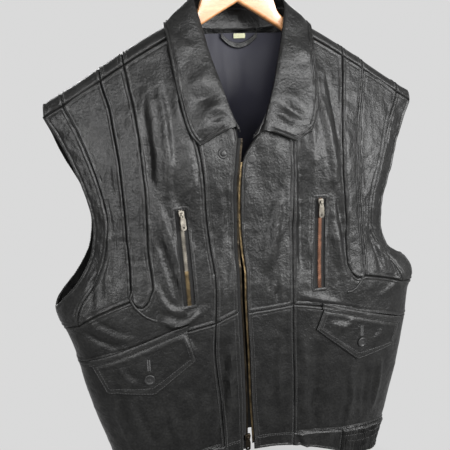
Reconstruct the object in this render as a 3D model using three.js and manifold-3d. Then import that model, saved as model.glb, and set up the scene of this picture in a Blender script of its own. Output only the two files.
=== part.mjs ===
// Black leather vest on a wooden hanger, as sewn: every cut piece is its own wall of leather.
// Millimetres, +Z up, the front faces -Y. The origin is the inner top of the hanger's hook.
// Side L is the viewer's left (-X), side R the viewer's right (+X).
import * as THREE from "three";
import { mergeVertices } from "three/addons/utils/BufferGeometryUtils.js";
import Module from "manifold-3d";

const wasm = await Module();
wasm.setup();

// Driving sizes
const LEATHER = 2; // thickness of a leather wall
const SATIN = 1; // thickness of the lining
const SEAM_INSET = 0.2; // each piece draws back this far from a seam
const LAYER_GAP = 0.4; // between a layer and what it lies on
const CROWN_GAP = 0.7; // the same, over a layer that spans the panels' facets
const TAPE_GAP = 1.6; // from a panel's inside to a zip tape
const LINING_GAP = 2.3; // from the back's inside to its loose lining
const SIDE_SEAM_Y = -6; // the side seams hang a little in front of the hook
const ROLL_RADIUS = 11; // how the leather bends over the hanger
const HANG_DROP = 220; // fall over which the leather reaches its full depth
const YOKE_DROP = 16; // the front shoulder seam lies this far under the shoulder line
const BACK_NECK = { z: -168, bulge: 17, spread: 70 }; // the collar holds the neck seam out at the middle
const BUTTON_RADIUS = 8;
const SNAP_RADIUS = 7.5;
const ZIP_WINDOW = { width: 19, depth: 60, y: -70 }; // cut out of the chest panel
const CHAIN_WIDTH = 5.5;
const FRONT_TEETH_WIDTH = 3;
const STRIP_LIFT = 0.8; // the narrow strips and the waistband stand a little proud

// Height of the shoulder line at each distance from the middle
const RIDGE = [
  [0, -136],
  [60, -147],
  [106, -163],
  [165, -195],
  [225, -231],
  [280, -263],
  [300, -274],
];

// Ring of the body at each height: half-widths, front and back depth, squareness
const BODY = table(
  ["z", "L", "R", "front", "back", "square"],
  [
    [-150, 300, 300, 50, 34, 2.6],
    [-265, 287, 287, 55, 40, 2.7],
    [-335, 260, 260, 57, 44, 2.7],
    [-415, 238, 234, 60, 49, 2.8],
    [-445, 238, 230, 62, 51, 2.9],
    [-470, 245, 231, 64, 52, 2.9],
    [-500, 263, 246, 66, 54, 2.9],
    [-540, 285, 280, 70, 56, 3.0],
    [-575, 274, 274, 75, 58, 3.2],
    [-613, 264, 271, 78, 59, 3.3],
    [-670, 255, 262, 80, 60, 3.4],
    [-740, 238, 250, 79, 56, 3.3],
    [-800, 222, 240, 74, 51, 3.2],
    [-865, 206, 224, 70, 48, 3.2],
  ],
);

// Distance of each lengthwise seam from the middle, at each height
const SEAM_NAMES = ["z", "edge", "princess", "stripIn", "stripOut", "band", "arm"];
const SEAMS = {
  L: table(SEAM_NAMES, [
    [-165, 90, 103, 170, 205, 266, 284],
    [-235, 60, 93, 162, 196, 258, 281],
    [-265, 44, 87, 158, 189, 246, 279],
    [-300, 22, 81, 155, 186, 231, 261],
    [-335, 24, 75, 153, 183, 220, 246],
    [-370, 29, 72, 152, 182, 211, 234],
    [-415, 30, 71, 153, 181, 204, 225],
    [-445, 31, 69, 154, 181, 207, 227],
    [-470, 32, 67, 154, 180, 213, 234],
    [-500, 32, 64, 152, 181, 227, 252],
    [-540, 33, 64, 154, 182, 252, 285],
    [-575, 32, 67, 154, 184, 252, 285],
    [-620, 31, 69, 152, 183, 240, 285],
    [-700, 30, 64, 148, 175, 220, 285],
    [-780, 30, 60, 142, 167, 200, 285],
    [-865, 30, 56, 136, 160, 190, 285],
  ]),
  R: table(SEAM_NAMES, [
    [-165, 84, 97, 160, 194, 262, 283],
    [-235, 58, 84, 151, 187, 256, 281],
    [-265, 41, 78, 147, 180, 246, 279],
    [-300, 15, 65, 142, 173, 229, 262],
    [-335, -12, 60, 139, 168, 217, 247],
    [-370, -19, 60, 139, 167, 206, 237],
    [-415, -21, 57, 141, 169, 193, 220],
    [-445, -21, 55, 143, 170, 190, 215],
    [-470, -20, 55, 142, 171, 195, 217],
    [-500, -18, 53, 142, 173, 211, 232],
    [-535, -19, 52, 144, 171, 236, 285],
    [-575, -19, 51, 142, 173, 246, 285],
    [-620, -18, 51, 142, 174, 240, 285],
    [-700, -17, 52, 142, 170, 225, 285],
    [-780, -13, 52, 140, 165, 210, 285],
    [-865, -10, 52, 136, 160, 198, 285],
  ]),
};

// Height of each crosswise seam where it meets each lengthwise one
const COLUMNS = ["edge", "princess", "stripIn", "stripMid", "stripOut", "band", "arm"];
const CROSS = {
  L: {
    pit: [-450, -465, -490, -498, -503, -532, -543],
    stripEnd: [-480, -495, -520, -536, -527, -558, -568],
    waist: [-558, -571, -587, -592, -597, -614, -622],
    waistband: [-770, -775, -787, -790, -793, -803, -812],
    hem: [-800, -806, -830, -835, -840, -850, -858],
  },
  R: {
    pit: [-450, -465, -490, -496, -500, -522, -532],
    stripEnd: [-500, -508, -516, -530, -531, -553, -563],
    waist: [-561, -558, -580, -586, -591, -613, -620],
    waistband: [-768, -776, -791, -791, -793, -800, -815],
    hem: [-791, -800, -835, -842, -847, -856, -864],
  },
};
const BACK_RISE = { pit: 45, stripEnd: 38, waist: 34, waistband: 24, hem: 22 };

// Cells of the lattice between neighbouring seams
const COLUMN_CELLS = { princess: 3, stripIn: 4, stripMid: 1, stripOut: 1, band: 2, arm: 2 };
const ROW_CELLS = { pit: 10, stripEnd: 1, waist: 2, waistband: 5, hem: 1 };
const ROWS = ["yoke", ...Object.keys(ROW_CELLS)];
const BACK_CENTRE_CELLS = 3; // from the middle to the neck point
const SHOULDER_ROLL = [
  ["front", YOKE_DROP],
  ["front", 5],
  ["ridge", 0],
  ["back", 5],
]; // rows that wrap the shoulder line, before the back's own rows

// Large folds: a soft ridge (+) or trough (-) from one place to another, x from the middle outwards
const FOLDS = foldTable(
  ["face", "side", "x0", "z0", "x1", "z1", "width", "rise"],
  [
    ["front", "L", 128, -215, 118, -390, 22, 4],
    ["front", "L", 146, -300, 142, -420, 16, -4],
    ["front", "L", 142, -380, 92, -545, 18, 4],
    ["front", "L", 120, -345, 78, -480, 14, -4],
    ["front", "L", 138, -560, 90, -552, 16, 5],
    ["front", "L", 66, -590, 88, -790, 22, -6],
    ["front", "R", 78, -330, 66, -560, 20, -4],
    ["front", "R", 104, -260, 118, -390, 22, 4],
    ["front", "R", 122, -440, 128, -520, 16, 4],
    ["front", "R", 30, -430, 18, -500, 20, 4],
    ["front", "R", 92, -620, 84, -770, 22, -5],
    ["back", "L", 60, -230, 110, -470, 34, -5],
    ["back", "R", 50, -260, 96, -500, 36, -5],
    ["back", "L", 20, -560, 30, -780, 40, 5],
    ["back", "R", 110, -540, 96, -760, 34, -5],
  ],
);

// Pocket flaps: corners [outward x, z] of the welt's upper edge and of the flap
const FLAPS = {
  L: {
    welt: { outer: [246, -611], inner: [107, -565] },
    outer: [225, -660],
    corner: [160, -667],
    inner: [99, -622],
    button: [166, -641],
  },
  R: {
    welt: { outer: [243, -612], inner: [98, -563] },
    outer: [226, -655],
    corner: [158, -664],
    inner: [88, -603],
    button: [164, -635],
  },
};
const WELT_WIDTH = 10;

// Chest zips: [outward x, z] of the window's top and bottom middle
const CHEST_ZIPS = {
  L: { top: [106, -404], bottom: [102.5, -541] },
  R: { top: [101, -404], bottom: [95, -540] },
};

// Collar: at each place from the back middle to the front end, the neck seam, the fold and the outer edge
const COLLAR_NAMES = ["neckX", "neckY", "neckZ", "foldX", "foldY", "foldZ", "edgeX", "edgeY", "edgeZ"];
const COLLAR = {
  L: [
    [0, 36, -163, 0, 44, -114, 0, 60, -186],
    [42, 34, -162, 36, 39, -115, 46, 56, -185],
    [74, 19, -158, 60, 22, -119, 84, 42, -174],
    [86, 1, -149, 61, 0, -129, 105, 2, -157],
    [83, -14, -172, 54, -16, -166, 106, -22, -175],
    [71.5, -27, -203, 48, -31, -201, 104, -35, -206],
    [56.5, -40, -236, 40, -45, -233, 99, -48, -251],
    [38, -50, -270, 32, -57, -265, 90, -60, -298],
    [18, -59, -304, 22, -64, -296, 76, -65, -319],
  ],
  R: [
    [0, 36, -163, 0, 44, -114, 0, 60, -186],
    [42, 34, -162, 38, 39, -115, 46, 56, -185],
    [72, 19, -158, 62, 22, -119, 84, 42, -174],
    [82, 1, -148, 68, 0, -133, 107, 2, -158],
    [77, -15, -174, 58, -19, -174, 105, -25, -182],
    [66, -28, -207, 46, -34, -210, 104, -38, -214],
    [51, -41, -242, 35, -47, -243, 102, -52, -262],
    [30, -53, -277, 22, -59, -275, 92, -61, -302],
    [1, -61, -313, 13, -65, -304, 62, -67, -320],
  ],
};
const COLLAR_BULGE = 5; // crown of the leaf between its fold and its edge
const COLLAR_STEPS = 2; // stations made between two rows of the table
const LEAF_STEPS = 5;
const STAND_STEPS = 2;

// Hanger
const HANGER = { thickness: 12, edgeRound: 4, wireRadius: 2, hookInner: 20 };
const HANGER_EDGES = [
  // x, height of the upper and of the lower edge
  [0, -92, -130],
  [28, -98, -145.5],
  [46, -114, -156],
  [53, -129, -160],
  [57, -140, -162],
  [66, -149.5, -168],
  [80, -159.5, -176],
  [106, -168, -190],
  [135, -182.5, -205],
  [165, -199.5, -219.5],
  [195, -217.5, -234],
  [214, -230, -242.5],
  [221, -236, -240],
];

const leather = finish(0x2b2b2d, 0.45, 0);
const satin = finish(0x2c2c32, 0.4, 0);
const tape = finish(0x1b1b1d, 0.9, 0);
const wood = finish(0xe8c193, 0.5, 0);
const steel = finish(0xb9bbbd, 0.3, 1);
const brass = finish(0x9a7a45, 0.4, 1);
const plastic = finish(0x161617, 0.35, 0);
const paper = finish(0xd9dcae, 0.8, 0);

// Number and table helpers

function finish(color, roughness, metalness) {
  return new THREE.MeshStandardMaterial({ color, roughness, metalness });
}

function lerp(a, b, f) {
  return a + (b - a) * f;
}

// Smooth curve through rising knots: value at position u
function curve(knots, values, u) {
  const last = knots.length - 1;
  if (u <= knots[0]) return values[0];
  if (u >= knots[last]) return values[last];
  let i = 0;
  while (knots[i + 1] < u) i += 1;
  const slope = (k) => {
    const a = Math.max(k - 1, 0);
    const b = Math.min(k + 1, last);
    return (values[b] - values[a]) / (knots[b] - knots[a]);
  };
  const h = knots[i + 1] - knots[i];
  const t = (u - knots[i]) / h;
  const t2 = t * t;
  const t3 = t2 * t;
  return (
    (2 * t3 - 3 * t2 + 1) * values[i] +
    (t3 - 2 * t2 + t) * h * slope(i) +
    (3 * t2 - 2 * t3) * values[i + 1] +
    (t3 - t2) * h * slope(i + 1)
  );
}

// A table whose first column is a falling height gives a function from height and column name to value
function table(names, rows) {
  const knots = rows.map((row) => -row[0]);
  const columns = Object.fromEntries(names.map((name, k) => [name, rows.map((row) => row[k])]));
  return (z, name) => curve(knots, columns[name], -z);
}

function foldTable(names, rows) {
  return rows.map((row) => Object.fromEntries(names.map((name, k) => [name, row[k]])));
}

function ridgeHeight(x) {
  return curve(
    RIDGE.map((p) => p[0]),
    RIDGE.map((p) => p[1]),
    Math.abs(x),
  );
}

const SIGN = { L: -1, R: 1 };

// The body's surface

// Angle round the ring for a distance from the middle
function angleAt(side, x, z) {
  const share = Math.min(Math.abs(x) / BODY(z, side), 1);
  return Math.sign(x) * Math.asin(share ** (BODY(z, "square") / 2));
}

function foldRise(face, side, x, z) {
  let rise = 0;
  for (const fold of FOLDS) {
    if (fold.face !== face || fold.side !== side) continue;
    const dx = fold.x1 - fold.x0;
    const dz = fold.z1 - fold.z0;
    const along = ((x - fold.x0) * dx + (z - fold.z0) * dz) / (dx * dx + dz * dz);
    const across = ((x - fold.x0) * dz - (z - fold.z0) * dx) / Math.hypot(dx, dz);
    if (along <= 0 || along >= 1) continue;
    rise += fold.rise * Math.sin(Math.PI * along) * Math.exp(-((across / fold.width) ** 2) * 3);
  }
  return rise;
}

function surfacePoint(side, face, angle, z) {
  const power = 2 / BODY(z, "square");
  const outward = Math.sign(angle) * BODY(z, side) * Math.abs(Math.sin(angle)) ** power;
  const fullness = Math.abs(Math.cos(angle)) ** power;
  const drop = Math.max(ridgeHeight(outward) - z, 0);
  const bend = Math.sqrt(1 - (1 - Math.min(drop / ROLL_RADIUS, 1)) ** 2);
  const fall = Math.sin((Math.PI / 2) * Math.min(drop / HANG_DROP, 1));
  const start = ROLL_RADIUS * Math.min(1, 0.35 + fullness);
  let depth = start * bend + (BODY(z, face) * fullness - start) * fall;
  depth += foldRise(face, side, outward, z) * fullness;
  if (face === "back") {
    const away = ((z - BACK_NECK.z) / BACK_NECK.spread) ** 2 + (outward / BACK_NECK.spread) ** 2;
    depth += BACK_NECK.bulge * Math.exp(-away);
  }
  const y = SIDE_SEAM_Y * fall + (face === "front" ? -depth : depth);
  return new THREE.Vector3(SIGN[side] * outward, y, z);
}

const HALF_TURN = Math.PI / 2;

// A surface point with its outward normal
function node(side, face, angle, z) {
  const p = surfacePoint(side, face, angle, z);
  if (angle > HALF_TURN - 1e-4) return { p, n: new THREE.Vector3(SIGN[side], 0, 0) };
  const turn = 0.01;
  const step = 1;
  const a = surfacePoint(side, face, angle - turn, z);
  const b = surfacePoint(side, face, Math.min(angle + turn, HALF_TURN), z);
  const above = surfacePoint(side, face, angle, z + step);
  const below = surfacePoint(side, face, angle, z - step);
  const n = b.sub(a).cross(above.sub(below)).normalize();
  if (face === "front" ? n.y > 0 : n.y < 0) n.negate();
  return { p, n };
}

function ridgeNode(side, x) {
  const z = ridgeHeight(x);
  const slope = (ridgeHeight(x + 2) - ridgeHeight(x - 2)) / 4;
  const n = new THREE.Vector3(-slope * SIGN[side], 0, 1).normalize();
  return { p: new THREE.Vector3(SIGN[side] * x, 0, z), n };
}

function nodeAt(side, face, x, z) {
  return node(side, face, angleAt(side, x, z), z);
}

// The lattice of seams

function seamX(side, column, z) {
  if (column === "stripMid") return (seamX(side, "stripIn", z) + seamX(side, "stripOut", z)) / 2;
  return SEAMS[side](z, column);
}

// Where a lengthwise seam meets the front shoulder seam
function yokeEnd(side, column) {
  let x = 150;
  for (let k = 0; k < 40; k += 1) x = seamX(side, column, ridgeHeight(x) - YOKE_DROP);
  return { x, z: ridgeHeight(x) - YOKE_DROP };
}

function crossZ(side, face, row, column) {
  if (row === "yoke") return yokeEnd(side, column).z;
  const front = CROSS[side][row];
  if (face === "front") return front[COLUMNS.indexOf(column)];
  const arm = front[COLUMNS.length - 1];
  if (column === "centre") return (CROSS.L[row].at(-1) + CROSS.R[row].at(-1)) / 2 + BACK_RISE[row];
  const share = seamX(side, column, arm) / seamX(side, "arm", arm);
  return arm + BACK_RISE[row] * (1 - Math.min(share, 1) ** 2);
}

// On the back the two inner seams run on down from the neck point
const BACK_SEAM_END = { edge: 52, princess: 88 };
const BACK_END_Z = -865;

function columnX(side, face, column, z) {
  if (column === "centre") return 0;
  if (face === "back" && column in BACK_SEAM_END) {
    const top = yokeEnd(side, column);
    const share = Math.min(Math.max((top.z - z) / (top.z - BACK_END_Z), 0), 1);
    return lerp(top.x, BACK_SEAM_END[column], share);
  }
  return seamX(side, column, z);
}

// Heights of one lengthwise seam, row by row
function columnHeights(side, face, column) {
  const heights = [];
  ROWS.forEach((row, k) => {
    if (k === 0) return;
    const atNeck = column === "centre" && k === 1;
    const from = atNeck ? BACK_NECK.z : crossZ(side, face, ROWS[k - 1], column);
    const to = crossZ(side, face, row, column);
    const cells = ROW_CELLS[row];
    for (let i = k === 1 ? 0 : 1; i <= cells; i += 1) heights.push(lerp(from, to, i / cells));
  });
  return heights;
}

// One half of the front or the back: rows of nodes from the inner column outwards
function halfLattice(side, face) {
  const names = face === "back" ? ["centre", ...COLUMNS] : COLUMNS;
  const cells = [...(face === "back" ? [BACK_CENTRE_CELLS] : []), ...Object.values(COLUMN_CELLS)];
  const heights = names.map((name) => columnHeights(side, face, name));
  const angles = names.map((name, c) =>
    heights[c].map((z) => angleAt(side, columnX(side, face, name, z), z)),
  );
  const rows = heights[0].map((_, r) => {
    const row = [node(side, face, angles[0][r], heights[0][r])];
    cells.forEach((count, c) => {
      for (let i = 1; i <= count; i += 1) {
        const angle = lerp(angles[c][r], angles[c + 1][r], i / count);
        row.push(node(side, face, angle, lerp(heights[c][r], heights[c + 1][r], i / count)));
      }
    });
    return row;
  });
  return rows;
}

// Rows that wrap the shoulder line in front of the back's own first row
function shoulderRows(side) {
  const xs = [yokeEnd(side, COLUMNS[0]).x];
  Object.values(COLUMN_CELLS).forEach((count, c) => {
    const from = yokeEnd(side, COLUMNS[c]);
    const to = yokeEnd(side, COLUMNS[c + 1]);
    const a = angleAt(side, from.x, from.z);
    const b = angleAt(side, to.x, to.z);
    for (let i = 1; i <= count; i += 1) {
      const z = lerp(from.z, to.z, i / count);
      xs.push(Math.abs(surfacePoint(side, "front", lerp(a, b, i / count), z).x));
    }
  });
  const at = (face, x, drop) => nodeAt(side, face, x, ridgeHeight(x) - drop);
  return SHOULDER_ROLL.map(([face, drop]) =>
    xs.map((x) => (face === "ridge" ? ridgeNode(side, x) : at(face, x, drop))),
  );
}

const sum = (list) => list.reduce((a, b) => a + b, 0);
const columnIndex = (name) => sum(Object.values(COLUMN_CELLS).slice(0, COLUMNS.indexOf(name)));
const rowIndex = (name) => sum(Object.values(ROW_CELLS).slice(0, ROWS.indexOf(name)));

const FRONT = { L: halfLattice("L", "front"), R: halfLattice("R", "front") };
const BACK = { L: halfLattice("L", "back"), R: halfLattice("R", "back") };

// The back with its shoulder rows, the front's own top row first, so that the pieces meet there
function backWithShoulder(side) {
  const wrap = shoulderRows(side);
  wrap[0] = FRONT[side][0];
  const inner = BACK[side][0].slice(0, BACK_CENTRE_CELLS);
  return [...wrap.map((row) => [...inner, ...row]), ...BACK[side]];
}
const BACK_FULL = { L: backWithShoulder("L"), R: backWithShoulder("R") };
const backRow = (name) => SHOULDER_ROLL.length + rowIndex(name);
const backColumn = (name) => BACK_CENTRE_CELLS + columnIndex(name);

function block(lattice, row0, row1, column0, column1) {
  return lattice.slice(row0, row1 + 1).map((row) => row.slice(column0, column1 + 1));
}

// Two halves side by side: the left one is turned so that its columns run towards the middle
function joined(left, right) {
  return left.map((row, k) => [...[...row].reverse(), ...right[k].slice(1)]);
}

// Finer rows or columns along straight chords, so that the borders stay on the neighbours'
function refined(grid, rowParts, columnParts) {
  const mix = (a, b, f) => ({
    p: a.p.clone().lerp(b.p, f),
    n: a.n.clone().lerp(b.n, f).normalize(),
  });
  const split = (list, parts, blend) => {
    const finer = list.slice(1).flatMap((next, i) =>
      Array.from({ length: parts }, (_, k) => blend(list[i], next, k / parts)),
    );
    return [...finer, list.at(-1)];
  };
  const wide = grid.map((row) => split(row, columnParts, mix));
  return split(wide, rowParts, (row, next, f) => row.map((cell, j) => mix(cell, next[j], f)));
}

// Inner nodes moved along their normals by a height for each row and column share
function raised(grid, height) {
  const lastRow = grid.length - 1;
  const lastColumn = grid[0].length - 1;
  return grid.map((row, i) =>
    row.map((cell, j) => {
      if (i === 0 || j === 0 || i === lastRow || j === lastColumn) return cell;
      const lift = height(i / lastRow, j / lastColumn);
      return { p: cell.p.clone().addScaledVector(cell.n, lift), n: cell.n };
    }),
  );
}

// Walls

function mean(points) {
  return points.reduce((total, p) => total.add(p), new THREE.Vector3()).divideScalar(points.length);
}

function meshOf(points, faces) {
  const geometry = new THREE.BufferGeometry();
  const places = points.flatMap((p) => [p.x, p.y, p.z]);
  geometry.setAttribute("position", new THREE.Float32BufferAttribute(places, 3));
  let volume = 0;
  for (const [a, b, c] of faces) volume += points[a].dot(points[b].clone().cross(points[c]));
  geometry.setIndex(faces.flatMap(([a, b, c]) => (volume > 0 ? [a, b, c] : [a, c, b])));
  return geometry;
}

// A closed wall between two offsets of a grid; keep(i, j) says which cells belong to the piece
function wall(grid, outer = 0, inner = -LEATHER, keep = () => true, inset = SEAM_INSET) {
  const rows = grid.length - 1;
  const columns = grid[0].length - 1;
  const kept = (i, j) => i >= 0 && j >= 0 && i < rows && j < columns && keep(i, j);
  const points = [];
  const index = new Map();
  const around = (i, j) => [
    [i - 1, j - 1],
    [i - 1, j],
    [i, j - 1],
    [i, j],
  ];
  const centre = (i, j) =>
    mean([grid[i][j].p, grid[i][j + 1].p, grid[i + 1][j].p, grid[i + 1][j + 1].p]);
  // Away from both border edges that meet at a node
  const borderMove = (i, j, mine) => {
    const { p, n } = grid[i][j];
    const sides = [];
    for (const [a, b] of mine) {
      const ends = [
        [i, b === j ? j + 1 : j - 1, a === i ? i - 1 : i, b],
        [a === i ? i + 1 : i - 1, j, a, b === j ? j - 1 : j],
      ];
      for (const [endI, endJ, otherI, otherJ] of ends) {
        if (kept(otherI, otherJ)) continue;
        const side = grid[endI][endJ].p.clone().sub(p).cross(n).normalize();
        sides.push(side.dot(centre(a, b).sub(p)) < 0 ? side.negate() : side);
      }
    }
    const [first, second] = sides;
    return first.clone().add(second).divideScalar(1 + Math.max(first.dot(second), -0.3));
  };
  const corner = (i, j) => {
    const key = i * (columns + 1) + j;
    if (index.has(key)) return index.get(key);
    const mine = around(i, j).filter(([a, b]) => kept(a, b));
    const at = grid[i][j].p.clone();
    if (mine.length < 4) at.addScaledVector(borderMove(i, j, mine), inset);
    points.push(at.clone().addScaledVector(grid[i][j].n, outer));
    points.push(at.clone().addScaledVector(grid[i][j].n, inner));
    index.set(key, points.length - 2);
    return points.length - 2;
  };
  const faces = [];
  const quad = (a, b, c, d) => faces.push([a, b, c], [a, c, d]);
  for (let i = 0; i < rows; i += 1) {
    for (let j = 0; j < columns; j += 1) {
      if (!kept(i, j)) continue;
      const [a, b, c, d] = [corner(i, j), corner(i, j + 1), corner(i + 1, j + 1), corner(i + 1, j)];
      quad(a, b, c, d);
      faces.push([a + 1, c + 1, b + 1], [a + 1, d + 1, c + 1]);
      if (!kept(i - 1, j)) quad(b, a, a + 1, b + 1);
      if (!kept(i + 1, j)) quad(d, c, c + 1, d + 1);
      if (!kept(i, j - 1)) quad(a, d, d + 1, a + 1);
      if (!kept(i, j + 1)) quad(c, b, b + 1, c + 1);
    }
  }
  return meshOf(points, faces);
}

function solidOf(geometry) {
  const bare = geometry.clone();
  bare.deleteAttribute("normal");
  bare.deleteAttribute("uv");
  const merged = mergeVertices(bare, 1e-4);
  const mesh = new wasm.Mesh({
    numProp: 3,
    vertProperties: new Float32Array(merged.attributes.position.array),
    triVerts: new Uint32Array(merged.index.array),
  });
  return new wasm.Manifold(mesh);
}

function geometryOf(solid) {
  const mesh = solid.getMesh();
  const geometry = new THREE.BufferGeometry();
  geometry.setAttribute("position", new THREE.BufferAttribute(mesh.vertProperties, 3));
  geometry.setIndex(new THREE.BufferAttribute(mesh.triVerts, 1));
  return geometry;
}

// A small turned piece that stands on the surface, its axis along the normal
function turned(profile, spot, lift) {
  const outline = profile.map(([r, h]) => new THREE.Vector2(r, h));
  const geometry = new THREE.LatheGeometry(outline, 16);
  geometry.rotateX(HALF_TURN);
  return standing(geometry, spot, lift);
}

// Moves a geometry whose local +Z points out of the cloth, and whose local +Y runs up, onto a node
function standing(geometry, spot, lift) {
  const up = new THREE.Vector3(0, 0, 1).addScaledVector(spot.n, -spot.n.z).normalize();
  const right = new THREE.Vector3().crossVectors(up, spot.n);
  const place = new THREE.Matrix4().makeBasis(right, up, spot.n);
  place.setPosition(spot.p.clone().addScaledVector(spot.n, lift));
  return geometry.applyMatrix4(place);
}

const root = new THREE.Group();

function add(name, geometry, material) {
  const mesh = new THREE.Mesh(geometry, material.clone());
  mesh.name = name;
  root.add(mesh);
}

// Fronts

function zipWindow(side) {
  const { top, bottom } = CHEST_ZIPS[side];
  const length = Math.hypot(top[0] - bottom[0], top[1] - bottom[1]);
  const box = new THREE.BoxGeometry(ZIP_WINDOW.width, ZIP_WINDOW.depth, length);
  box.rotateY(Math.atan2(SIGN[side] * (top[0] - bottom[0]), top[1] - bottom[1]));
  box.translate((SIGN[side] * (top[0] + bottom[0])) / 2, ZIP_WINDOW.y, (top[1] + bottom[1]) / 2);
  return box;
}

function addFront(side) {
  const lattice = FRONT[side];
  const c = columnIndex;
  const r = rowIndex;
  const piece = (row0, row1, column0, column1) =>
    block(lattice, r(row0), r(row1), c(column0), c(column1));
  add(`front_centre_upper_${side}`, wall(piece("yoke", "waist", "edge", "princess")), leather);
  add(`front_centre_lower_${side}`, wall(piece("waist", "hem", "edge", "princess")), leather);

  const chest = piece("yoke", "waist", "princess", "arm");
  const inner = c("stripIn") - c("princess");
  const chestWall = wall(chest, 0, -LEATHER, (i, j) => j < inner || i >= r("stripEnd"));
  add(`front_chest_${side}`, geometryOf(solidOf(chestWall).subtract(solidOf(zipWindow(side)))), leather);

  const strip = piece("yoke", "stripEnd", "stripIn", "stripOut");
  add(`front_strip_${side}`, wall(strip, STRIP_LIFT), leather);
  add(`front_side_${side}`, wall(piece("yoke", "stripEnd", "stripOut", "band")), leather);
  add(`front_lower_${side}`, wall(piece("waist", "waistband", "princess", "arm")), leather);
  const band = piece("waistband", "hem", "princess", "stripIn");
  add(`waistband_front_${side}`, wall(band, STRIP_LIFT), leather);
  addArmholeBand(`armhole_band_front_${side}`, piece("yoke", "stripEnd", "band", "arm"));
}

// Armhole bands are gathered along their seam
const BAND_GATHERS = 9;
const BAND_GATHER_HEIGHT = 1.6;

function addArmholeBand(name, grid) {
  const wave = (row, column) => Math.sin(BAND_GATHERS * 2 * Math.PI * row + 3 * column);
  const gathers = (row, column) =>
    BAND_GATHER_HEIGHT * Math.sin(Math.PI * column) * wave(row, column);
  add(name, wall(raised(refined(grid, 3, 1), gathers)), leather);
}

// Back

function addBack() {
  const both = joined(BACK_FULL.L, BACK_FULL.R);
  const middle = BACK_FULL.L[0].length - 1;
  const inner = backColumn("stripIn");
  const centre = block(both, 0, backRow("waistband"), middle - inner, middle + inner);
  const neck = (i, j) => i >= SHOULDER_ROLL.length || Math.abs(j + 0.5 - inner) > BACK_CENTRE_CELLS;
  add("back_centre", wall(centre, 0, -LEATHER, neck), leather);
  for (const side of ["L", "R"]) {
    const lattice = BACK_FULL[side];
    const piece = (row0, row1, column0, column1) =>
      block(lattice, row0, row1, backColumn(column0), backColumn(column1));
    const bandRow = backRow("waistband");
    const endRow = backRow("stripEnd");
    add(`back_strip_${side}`, wall(piece(0, bandRow, "stripIn", "stripOut"), STRIP_LIFT), leather);
    const sidePiece = piece(0, bandRow, "stripOut", "arm");
    const outsideArmhole = (i, j) => j < COLUMN_CELLS.band || i >= endRow;
    add(`back_side_${side}`, wall(sidePiece, 0, -LEATHER, outsideArmhole), leather);
    addArmholeBand(`armhole_band_back_${side}`, piece(0, endRow, "band", "arm"));
  }
  const reach = backColumn("stripOut");
  const band = block(both, backRow("waistband"), backRow("hem"), middle - reach, middle + reach);
  add("waistband_back", wall(band, STRIP_LIFT), leather);
}

// The elastic stretches of the waistband run round the side seam and are ruched
const RUCHES = 22;
const RUCHE_HEIGHT = 1.8;

function addElastic(side) {
  const r = rowIndex;
  const front = block(FRONT[side], r("waistband"), r("hem"), columnIndex("stripIn"), columnIndex("arm"));
  const back = block(BACK[side], r("waistband"), r("hem"), backColumn("stripOut"), backColumn("arm"));
  const round = front.map((row, k) => [...row, ...[...back[k]].reverse().slice(1)]);
  const ruches = (row, column) => RUCHE_HEIGHT * Math.sin(RUCHES * 2 * Math.PI * column + 1.5 * row);
  add(`waistband_side_${side}`, wall(raised(refined(round, 1, 6), ruches), STRIP_LIFT), leather);
}

// Lining inside the back, where the neck and the armholes show it
function addLining() {
  const both = joined(BACK.L, BACK.R);
  const middle = BACK.L[0].length - 1;
  const reach = backColumn("band");
  const grid = block(both, 0, rowIndex("stripEnd"), middle - reach, middle + reach);
  const outer = -LEATHER - LINING_GAP;
  const everySecond = (list) => list.filter((_, k) => k % 2 === 0);
  const coarse = everySecond(grid).map(everySecond);
  add("lining_back", wall(coarse, outer, outer - SATIN, undefined, LINING_GAP), satin);
}

// Pocket flaps

function addFlap(side) {
  const { welt, outer, corner, inner, button } = FLAPS[side];
  const along = (a, b, f) => [lerp(a[0], b[0], f), lerp(a[1], b[1], f)];
  const spot = ([x, z]) => nodeAt(side, "front", x, z);
  const steps = 10;
  const weltRow = (drop) =>
    Array.from({ length: steps + 1 }, (_, k) => {
      const [x, z] = along(welt.inner, welt.outer, k / steps);
      return spot([x, z - drop]);
    });
  const lift = CROWN_GAP;
  const weltTop = lift + LEATHER + 0.6;
  const weltGrid = [weltRow(0), weltRow(WELT_WIDTH)];
  add(`flap_welt_${side}`, wall(weltGrid, weltTop, lift, undefined, 0), leather);

  const down = 4;
  const hinge = WELT_WIDTH + 2 * SEAM_INSET;
  const top = (f) => {
    const [x, z] = along(welt.inner, welt.outer, 0.015 + f * 0.96);
    return [x, z - hinge];
  };
  const foot = (f) => (f < 0.5 ? along(inner, corner, f * 2) : along(corner, outer, f * 2 - 1));
  const place = (i, j) => spot(along(top(j / steps), foot(j / steps), i / down));
  const grid = Array.from({ length: down + 1 }, (_, i) =>
    Array.from({ length: steps + 1 }, (__, j) => place(i, j)),
  );
  add(`flap_${side}`, wall(grid, lift + LEATHER, lift, undefined, 0), leather);

  const profile = [
    [0, 0],
    [BUTTON_RADIUS, 0],
    [BUTTON_RADIUS, 2],
    [BUTTON_RADIUS - 1, 2.8],
    [BUTTON_RADIUS - 2.5, 2.8],
    [BUTTON_RADIUS - 3.5, 2.1],
    [0, 2.1],
  ];
  add(`flap_button_${side}`, turned(profile, spot(button), lift + LEATHER + 0.7), plastic);
}

// Zips

const TAPE_BACK = -LEATHER - TAPE_GAP - 1; // inner face of a chest zip's tape

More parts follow.
